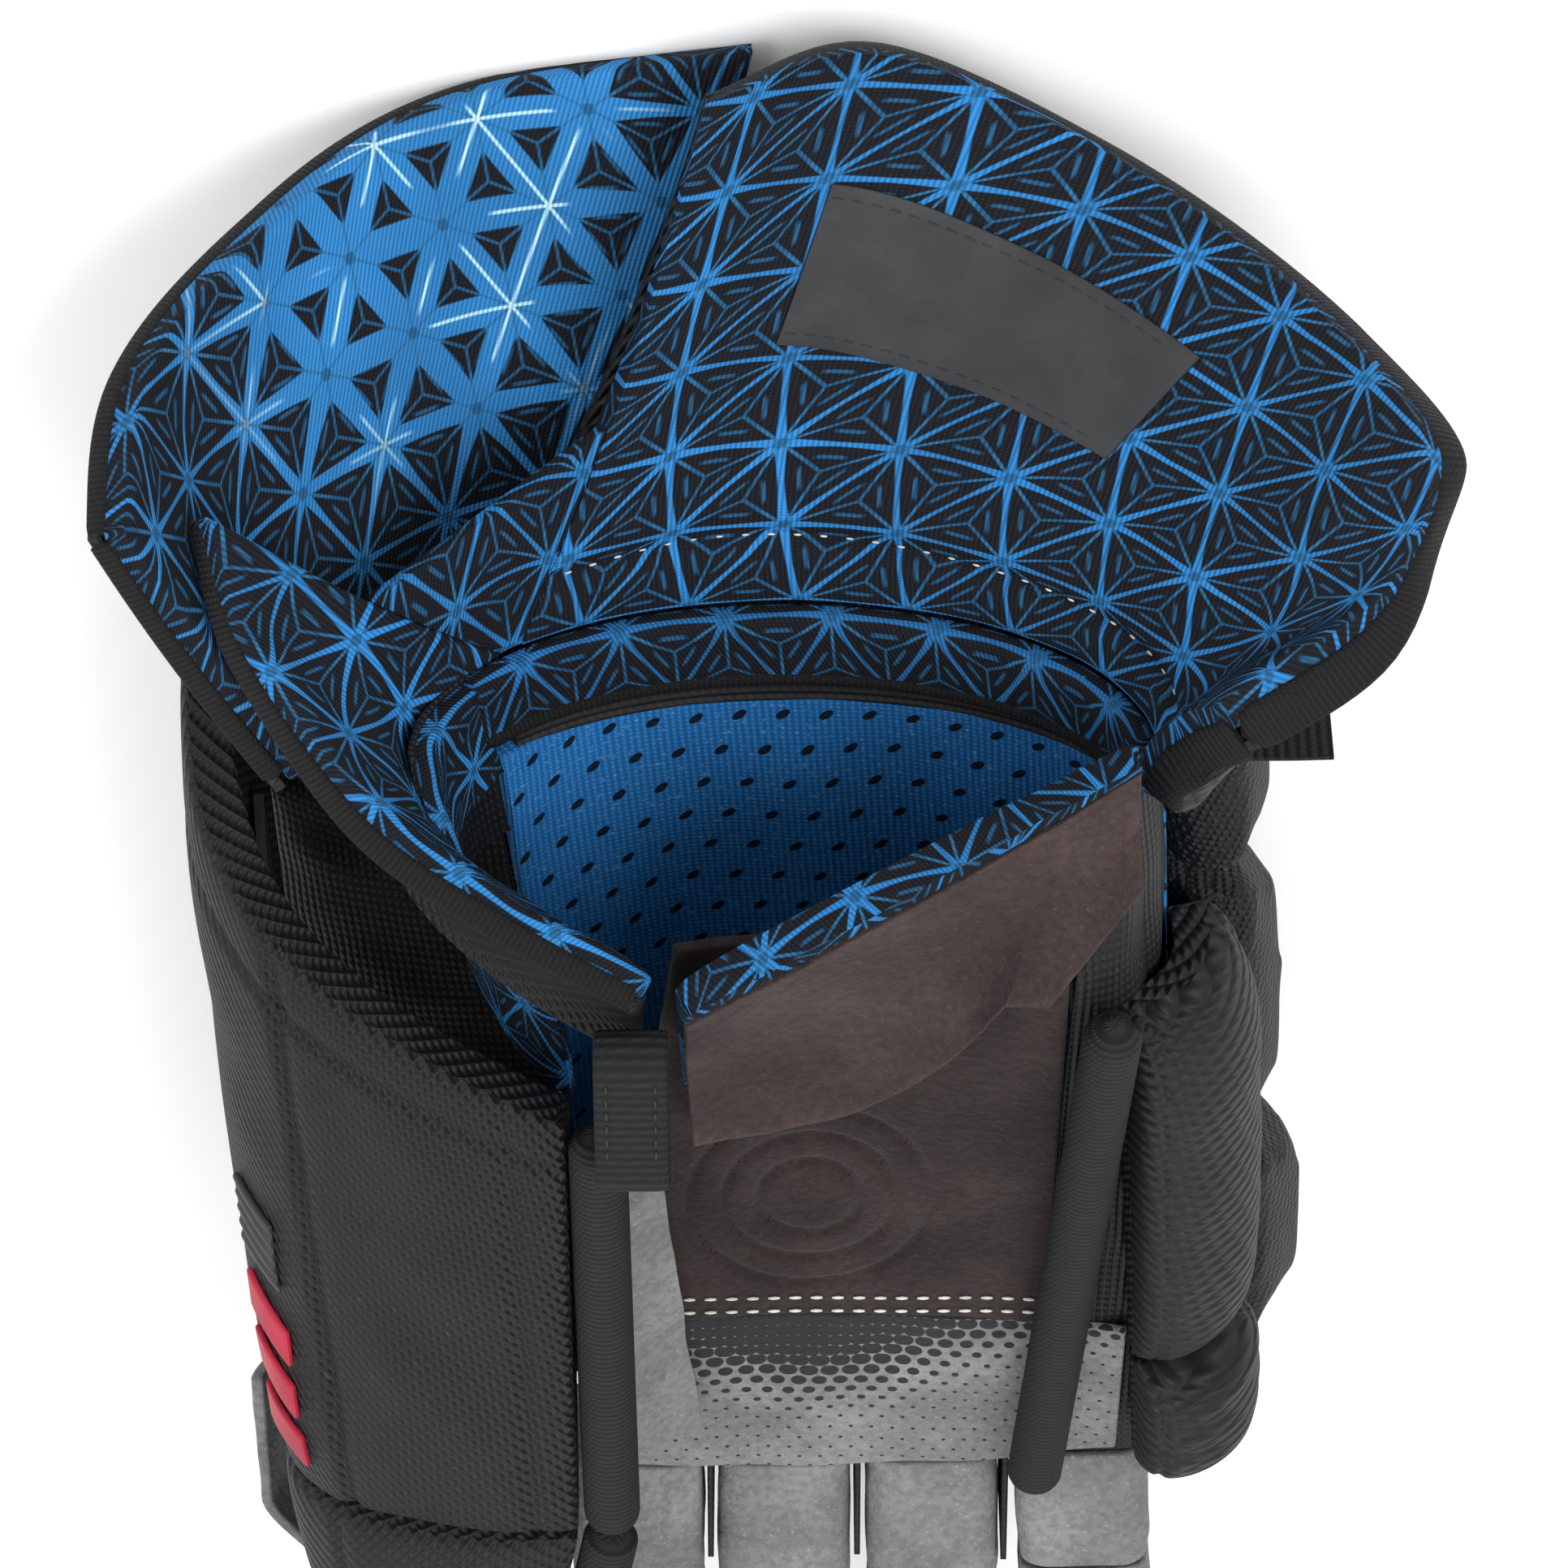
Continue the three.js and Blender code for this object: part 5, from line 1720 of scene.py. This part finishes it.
@dataclass
class Fingers:
    """The four jointed finger stalls, suede on the palm side and padded on the back."""

    wardrobe: Wardrobe
    width: float = 22.4
    height: float = 24.0
    leather: float = 2.2
    curls: tuple[float, float, float] = (9.0, 14.0, 12.0)
    gusset_start: float = 70.0
    gusset_end: float = 100.0
    gusset_drop: float = 1.6
    gusset_depth: float = 20.0

    def build(self) -> None:
        """Build the segments of each finger."""
        fingers = (
            Finger("index", 24.5, 79.8, 0, (29, 26, 28)),
            Finger("middle", 0.0, 80.3, 0, (31, 26, 29)),
            Finger("ring", -24.5, 79.2, 1, (29, 26, 28)),
            Finger("little", -49.0, 74.9, 3, (24, 21, 25)),
        )
        for finger in fingers:
            place = Matrix.Translation(PALM.point(finger.x, finger.knuckle_y))
            place = place @ Matrix.Rotation(math.radians(finger.splay), 4, "Z")
            for order, length in enumerate(finger.lengths, 1):
                place = place @ Matrix.Rotation(math.radians(self.curls[order - 1]), 4, "X")
                self.segment(finger, order, length, place)
                place = place @ Matrix.Translation((0, length, 0))
        for left, right in zip(fingers, fingers[1:]):
            self.gusset(left, right)

    def gusset(self, left: Finger, right: Finger) -> None:
        """Build the black knit gusset that closes the slot between two fingers.

        Args:
            left: one finger.
            right: its neighbour.
        """
        middle = (left.x + right.x) / 2

        def wall(u: float, v: float) -> Vector:
            """Return a point of the gusset, u running down from the palm."""
            y = lerp(self.gusset_start, self.gusset_end, v)
            top = PALM.height(middle, min(y, left.knuckle_y)) - self.gusset_drop
            rise = max(y - left.knuckle_y, 0.0) * math.tan(math.radians(self.curls[0]))
            return Vector((middle, y, top + rise - self.gusset_depth * u))

        inside = Vector((middle - 50, 80, 50))
        piece = sheet(f"{left.name}_{right.name}_gusset", wall, (12, 20), inside, -0.5, 0.5, rim=0.1)
        fit(piece, self.wardrobe.knit, "hand", "soft_mesh")
        stretched(piece, wall)

    def channel(self, u: float) -> tuple[float, float]:
        """Return the point of a sleeve's section: down one side, across the palm side and down the other.

        Args:
            u: from 0 to 1 round the section.

        Returns:
            The point's x and z.
        """
        corner, half, deep = 5.0, self.width / 2, self.height - 0.3
        side, arc, across = deep - corner, math.pi / 2 * corner, self.width - 2 * corner
        s = u * (2 * side + 2 * arc + across)
        if s < side:
            return -half, -deep + s
        if s < side + arc:
            a = (s - side) / corner
            return -half + corner - corner * math.cos(a), -corner + corner * math.sin(a)
        if s < side + arc + across:
            return -half + corner + s - side - arc, 0.0
        if s < side + 2 * arc + across:
            a = (s - side - arc - across) / corner
            return half - corner + corner * math.sin(a), -corner + corner * math.cos(a)
        return half, -corner - (s - side - 2 * arc - across)

    def segment(self, finger: Finger, order: int, length: float, place: Matrix) -> None:
        """Build a segment's sleeve and its pad.

        Args:
            finger: the finger.
            order: 1 at the knuckle to 3 at the tip.
            length: how long the segment is.
            place: where its knuckle end is.
        """
        run = length - 5 if order == 3 else length

        def sleeve(u: float, v: float) -> Vector:
            """Return a point of the sleeve's outer face."""
            x, z = self.channel(u)
            return place @ Vector((x, lerp(0.15, run - 0.15, v), z - 0.3))

        inside = place @ Vector((0, length / 2, -self.height / 2))

        def gathered(u: float, v: float) -> float:
            """Return the depth of the sleeve, gathered at both ends."""
            fold = gully(v, 0.0, 0.12) + gully(v, 1.0, 0.12)
            return -0.15 - 0.35 * fold + drape(u * 9 + order, v * 3, 0.7, 0.3)

        name = f"{finger.name}_stall_{order}"
        skin = sheet(name, sleeve, (52, 22), inside, -self.leather, gathered, rim=0.5)
        fit(skin, self.wardrobe.grey_suede, finger.body(order), "suede", f"{finger.name}_sleeve_{order}")
        node = f"{finger.name}_pad_{order}"
        stuffing = Stuffing(voxel=2.6, shrink=0.9, cap=1.6, fill=0.85)
        pad = stuffed(f"{finger.name}_roll_{order}", node, stuffing)
        fit(pad, self.wardrobe.pad_mesh, finger.body(order), "mesh", node)


# ---------------------------------------------------------------- thumb


@dataclass
class Thumb:
    """The thumb: a padded guard, its jointed tip, emblem, binding and suede gusset."""

    wardrobe: Wardrobe
    pad: float = 9.0
    piping: float = 4.5
    leather: float = 2.2
    binding_stops: tuple[float, ...] = (-36, -12, 12, 36, 60.5)
    tip_stops: tuple[float, ...] = (62.6, 70, 77)
    emblem_across: tuple[float, float] = (0.315, 0.455)
    plate_along: tuple[float, float] = (0.525, 0.635)
    bar_starts: tuple[float, ...] = (0.69, 0.78, 0.87)
    bar_width: float = 0.055
    bar_slant: float = 0.035

    def build(self) -> None:
        """Build the thumb's base and tip."""
        self.base()
        self.emblem()
        self.gusset()
        self.tip()
        dress("thumb_guard_plate", self.wardrobe.stiffener)

    def guard(self, u: float, v: float) -> Vector:
        """Return a point of the guard's outer face."""
        return THUMB.line(lerp(lerp(-103, -38, u), THUMB.joint_y - 1, v), u)

    def guard_face(self, u: float, v: float) -> float:
        """Return the depth of the guard's outer face, with its folds and sewn channels."""
        full = lerp(0.75, 1.0, crown(u, v, 6))
        sewn = 1.1 * gully(u, 0.56, 0.018) + 0.9 * gully(v, 0.1, 0.014) + 0.7 * gully(u, 0.93, 0.012)
        return self.pad * (full - 1) - sewn * smooth(v, 0.0, 0.06) + drape(u * 5, v * 6, 0.8, 0.6)

    def base(self) -> None:
        """Build the guard over the base of the thumb and the rolled binding along its palm side."""
        cuts = (100, 100)
        shell = sheet("thumb_guard", self.guard, cuts, THUMB.inside, -self.pad, self.guard_face, rim=1.8)
        fit(shell, self.wardrobe.shell_mesh, "thumb_base", "mesh", "thumb_guard_base")
        half = (self.piping, self.piping)
        roll = tube("thumb_binding", self.beside_palm(self.binding_stops), half, 120, 20, dome=0.04)
        fit(roll, self.wardrobe.binding, "thumb_base", "webbing", "thumb_piping")

    def beside_palm(self, stops: Sequence[float]) -> Spine:
        """Return the spine of a binding along the guard's palm side, through places along the hand."""
        line = [THUMB.line(y, 1.0) + Vector((-self.piping - 1, 0, -4)) for y in stops]
        return along_line(line, UPWARDS)

    def emblem(self) -> None:
        """Build a plain raised emblem: a ridged charcoal plate and three slanted red bars."""

        def place(along: tuple[float, float], slant: float, u: float, v: float) -> tuple[float, float]:
            """Return the guard's own place for a place on a raised piece."""
            return lerp(*self.emblem_across, u), lerp(*along, v) + slant * (u - 0.5)

        def face(spot: Place, u: float, v: float) -> Vector:
            """Return a point of the guard under a raised piece."""
            return self.guard(*spot(u, v))

        def raised(spot: Place, lift: float, u: float, v: float) -> float:
            """Return the guard's depth with a lift on it."""
            return self.guard_face(*spot(u, v)) + lift

        def ridged(spot: Place, u: float, v: float) -> float:
            """Return the depth of the plate's ridged face."""
            return raised(spot, 0.7 + 0.5 * (0.5 + 0.5 * math.sin(v * 31)), u, v)

        spot = partial(place, self.plate_along, 0.0)
        foot, rise = partial(raised, spot, 0.1), partial(ridged, spot)
        plate = sheet("emblem_plate", partial(face, spot), (20, 40), THUMB.inside, foot, rise, rim=0.35)
        fit(plate, self.wardrobe.dark_rubber, "thumb_base", "label", "thumb_emblem_grey")
        for order, start in enumerate(self.bar_starts, 1):
            spot = partial(place, (start, start + self.bar_width), self.bar_slant)
            foot, rise = partial(raised, spot, 0.1), partial(raised, spot, 1.2)
            name = f"emblem_bar_{order}"
            piece = sheet(name, partial(face, spot), (16, 10), THUMB.inside, foot, rise, rim=0.35)
            nodes = ("thumb_emblem_red",) if order == 1 else ()
            fit(piece, self.wardrobe.red_rubber, "thumb_base", "red", *nodes)

    def gusset(self) -> None:
        """Build the grey suede wall between the thumb's binding and the palm."""

        def wall(u: float, v: float) -> Vector:
            """Return a point between the thumb's binding and the palm."""
            y = lerp(-22, THUMB.joint_y - 1, v)
            edge = THUMB.line(y, 1.0)
            top = Vector((edge.x - 4, y, edge.z - 4 - self.piping - 0.8))
            foot = Vector((lerp(20, 14, v), y, PALM.height(16, y) + 2.2))
            return top.lerp(foot, u) + Vector((4 * math.sin(math.pi * u), 0, 0))

        def soft(side: float, u: float, v: float) -> float:
            """Return the depth of one side of the suede, with its folds."""
            return side * self.leather / 2 + drape(u * 3, v * 7, 0.9, 1.1)

        inside = Vector((60, 0, 90))
        near, far = partial(soft, -1), partial(soft, 1)
        piece = sheet("thumb_gusset_panel", wall, (28, 60), inside, near, far, rim=0.5)
        fit(piece, self.wardrobe.grey_suede, "thumb_base", "suede", "thumb_gusset")

    def tip(self) -> None:
        """Build the guard over the thumb's tip and the suede stall under it."""
        start, end = THUMB.joint_y + 1, THUMB.end_y

        def shell(u: float, v: float) -> Vector:
            """Return a point of the guard, drawn in at its end."""
            y = lerp(start, end, v)
            return THUMB.line(y, u).lerp(Vector((56, y, 68)), 0.6 * smooth(v, 0.65, 1) ** 1.5)

        def near(u: float, v: float) -> float:
            """Return the depth of the guard's inner face."""
            return -self.pad * lerp(1, 0.7, smooth(v, 0.65, 1))

        def far(u: float, v: float) -> float:
            """Return the depth of the guard's outer face, with its channel."""
            full = lerp(0.75, 1.0, crown(u, v, 6))
            return self.pad * (full - 1) - 0.8 * gully(u, 0.5, 0.02) + drape(u * 5, v * 3, 0.8, 0.5)

        guard = sheet("thumb_tip_guard", shell, (72, 48), THUMB.inside, near, far, rim=1.6)
        fit(guard, self.wardrobe.shell_mesh, "thumb_tip", "mesh", "thumb_guard_tip")

        def stall(u: float, v: float) -> Vector:
            """Return a point of the stall under the guard."""
            y = lerp(start, end - 6, v)
            ends = (
                Vector((37, y, lerp(82.4, 73, v))),
                Vector((38, y, 42)),
                Vector((84, y, 32)),
                Vector((88, y, 54)),
            )
            return bezier(ends, u).lerp(Vector((57, y, 63)), 0.4 * smooth(v, 0.6, 1))

        half = (self.piping, self.piping)
        roll = tube("thumb_tip_binding", self.beside_palm(self.tip_stops), half, 40, 20, dome=0.12)
        fit(roll, self.wardrobe.binding, "thumb_tip", "webbing")

        def slack(u: float, v: float) -> float:
            """Return the depth of the stall, which is a little loose."""
            return drape(u * 7, v * 4, 0.8, 0.5) - 0.2

        inside = Vector((56, 90, 70))
        skin = sheet("thumb_stall", stall, (60, 32), inside, -self.leather, slack, rim=0.5)
        fit(skin, self.wardrobe.grey_suede, "thumb_tip", "suede", "thumb_stall_tip")


# ---------------------------------------------------------------- pull loop


@dataclass
class PullLoop:
    """The folded webbing loop that the glove is pulled on by."""

    wardrobe: Wardrobe
    centre: tuple[float, float, float] = (22.5, -49.0, 104.5)
    length: float = 30.0
    height: float = 9.4
    width: float = 11.0
    thick: float = 1.6

    def build(self) -> None:
        """Build the loop and the stitches that close it."""
        middle = Vector(self.centre)
        radius = (self.height - self.thick) / 2
        straight = self.length / 2 - self.height / 2
        total = 4 * straight + 2 * math.pi * radius

        def spine(t: float) -> tuple[Vector, Vector, Vector]:
            """Return the centre, the across direction and the up direction at t."""
            s = t * total
            if s < 2 * straight:
                y, z, angle = s - straight, radius, math.pi / 2
            elif s < 2 * straight + math.pi * radius:
                angle = math.pi / 2 - (s - 2 * straight) / radius
                y, z = straight + radius * math.cos(angle), radius * math.sin(angle)
            elif s < 4 * straight + math.pi * radius:
                y, z, angle = straight - (s - 2 * straight - math.pi * radius), -radius, -math.pi / 2
            else:
                angle = -math.pi / 2 - (s - 4 * straight - math.pi * radius) / radius
                y, z = -straight + radius * math.cos(angle), radius * math.sin(angle)
            up = Vector((0, math.cos(angle), math.sin(angle)))
            return middle + Vector((0, y, z)), Vector((1, 0, 0)), up

        loop = tube("web_loop", spine, (self.width / 2, self.thick / 2), 96, 16, closed=True, power=5.0)
        fit(loop, self.wardrobe.webbing, "pull_loop", "webbing", "pull_loop")

        def row(x: float, t: float) -> Vector:
            """Return a point of a row of stitches at x."""
            return middle + Vector((x, lerp(-9, 9, t), self.height / 2 + 0.15))

        rows = [partial(row, x) for x in (-3.6, 3.6)]
        thread = stitches("web_loop_stitches", rows, 1.8, 0.9, 0.22)
        fit(thread, self.wardrobe.dark_thread, "pull_loop", "webbing")


# ---------------------------------------------------------------- studio


@dataclass(frozen=True)
class Studio:
    """A plain pale floor, soft light and the camera."""

    look_at: Vector = Vector((0.0, -74.0, 60.0))
    elevation: float = 48.0
    distance: float = 1000.0
    lens: float = 152.8
    floor_size: float = 6.0

    def build(self) -> None:
        """Make the camera, the floor and the lights."""
        self.camera()
        self.floor()
        self.lights()

    def camera(self) -> None:
        """Make the camera, turned over so that the cuff is at the top of the picture."""
        data = bpy.data.cameras.new("camera")
        data.lens, data.sensor_width = self.lens, 36.0
        data.clip_start, data.clip_end = 0.05, 20.0
        camera = bpy.data.objects.new("camera", data)
        bpy.context.scene.collection.objects.link(camera)
        tilt = math.radians(self.elevation)
        back = Vector((0, -math.cos(tilt), math.sin(tilt)))
        camera.rotation_mode = "QUATERNION"
        camera.location = in_row(self.look_at + back * self.distance)
        turned = (-back).to_track_quat("-Z", "Y").to_matrix() @ Matrix.Rotation(math.pi, 3, "Z")
        camera.rotation_quaternion = turned.to_quaternion()
        bpy.context.scene.camera = camera

    def floor(self) -> None:
        """Make the pale floor."""
        bm = bmesh.new()
        bmesh.ops.create_grid(bm, x_segments=1, y_segments=1, size=self.floor_size / 2)
        piece = new_piece("floor", bm)
        cloth = Cloth("pale_floor", 0.9)
        shade = cloth.noise(cloth.place(False), 3.0, 1.0)
        colour = cloth.mix(cloth.step(shade, 0.2, 0.8), (0.86, 0.86, 0.86), (0.9, 0.9, 0.9))
        cloth.finish(colour, shade, 0.00001)
        piece.data.materials.append(cloth.material)

    def lights(self) -> None:
        """Make a pale sky, a broad key light and two fill lights."""
        world = bpy.data.worlds.new("studio")
        world.use_nodes = True
        sky = world.node_tree.nodes["Background"]
        sky.inputs["Color"].default_value = (1.0, 1.0, 1.0, 1.0)
        sky.inputs["Strength"].default_value = 0.75
        bpy.context.scene.world = world
        bpy.context.scene.view_settings.view_transform = "Standard"
        for name, place, size, power in (
            ("key", (-0.5, -0.55, 1.1), 0.7, 14.0),
            ("fill", (0.9, -0.2, 0.8), 0.9, 7.0),
            ("front", (0.1, 0.9, 0.9), 0.8, 6.0),
        ):
            data = bpy.data.lights.new(name, "AREA")
            data.size, data.energy = size, power
            light = bpy.data.objects.new(name, data)
            bpy.context.scene.collection.objects.link(light)
            light.location = place
            light.rotation_mode = "QUATERNION"
            light.rotation_quaternion = (-Vector(place)).to_track_quat("-Z", "Y")


def main() -> None:
    """Build the glove, part by part, and the studio round it."""
    wardrobe = Wardrobe()
    Studio().build()
    for part in (Cuff(wardrobe), Hand(wardrobe), Fingers(wardrobe), Thumb(wardrobe), PullLoop(wardrobe)):
        log.info("building %s", type(part).__name__)
        part.build()
    dress("cuff_back_plate", wardrobe.stiffener)


if __name__ == "__main__":
    main()
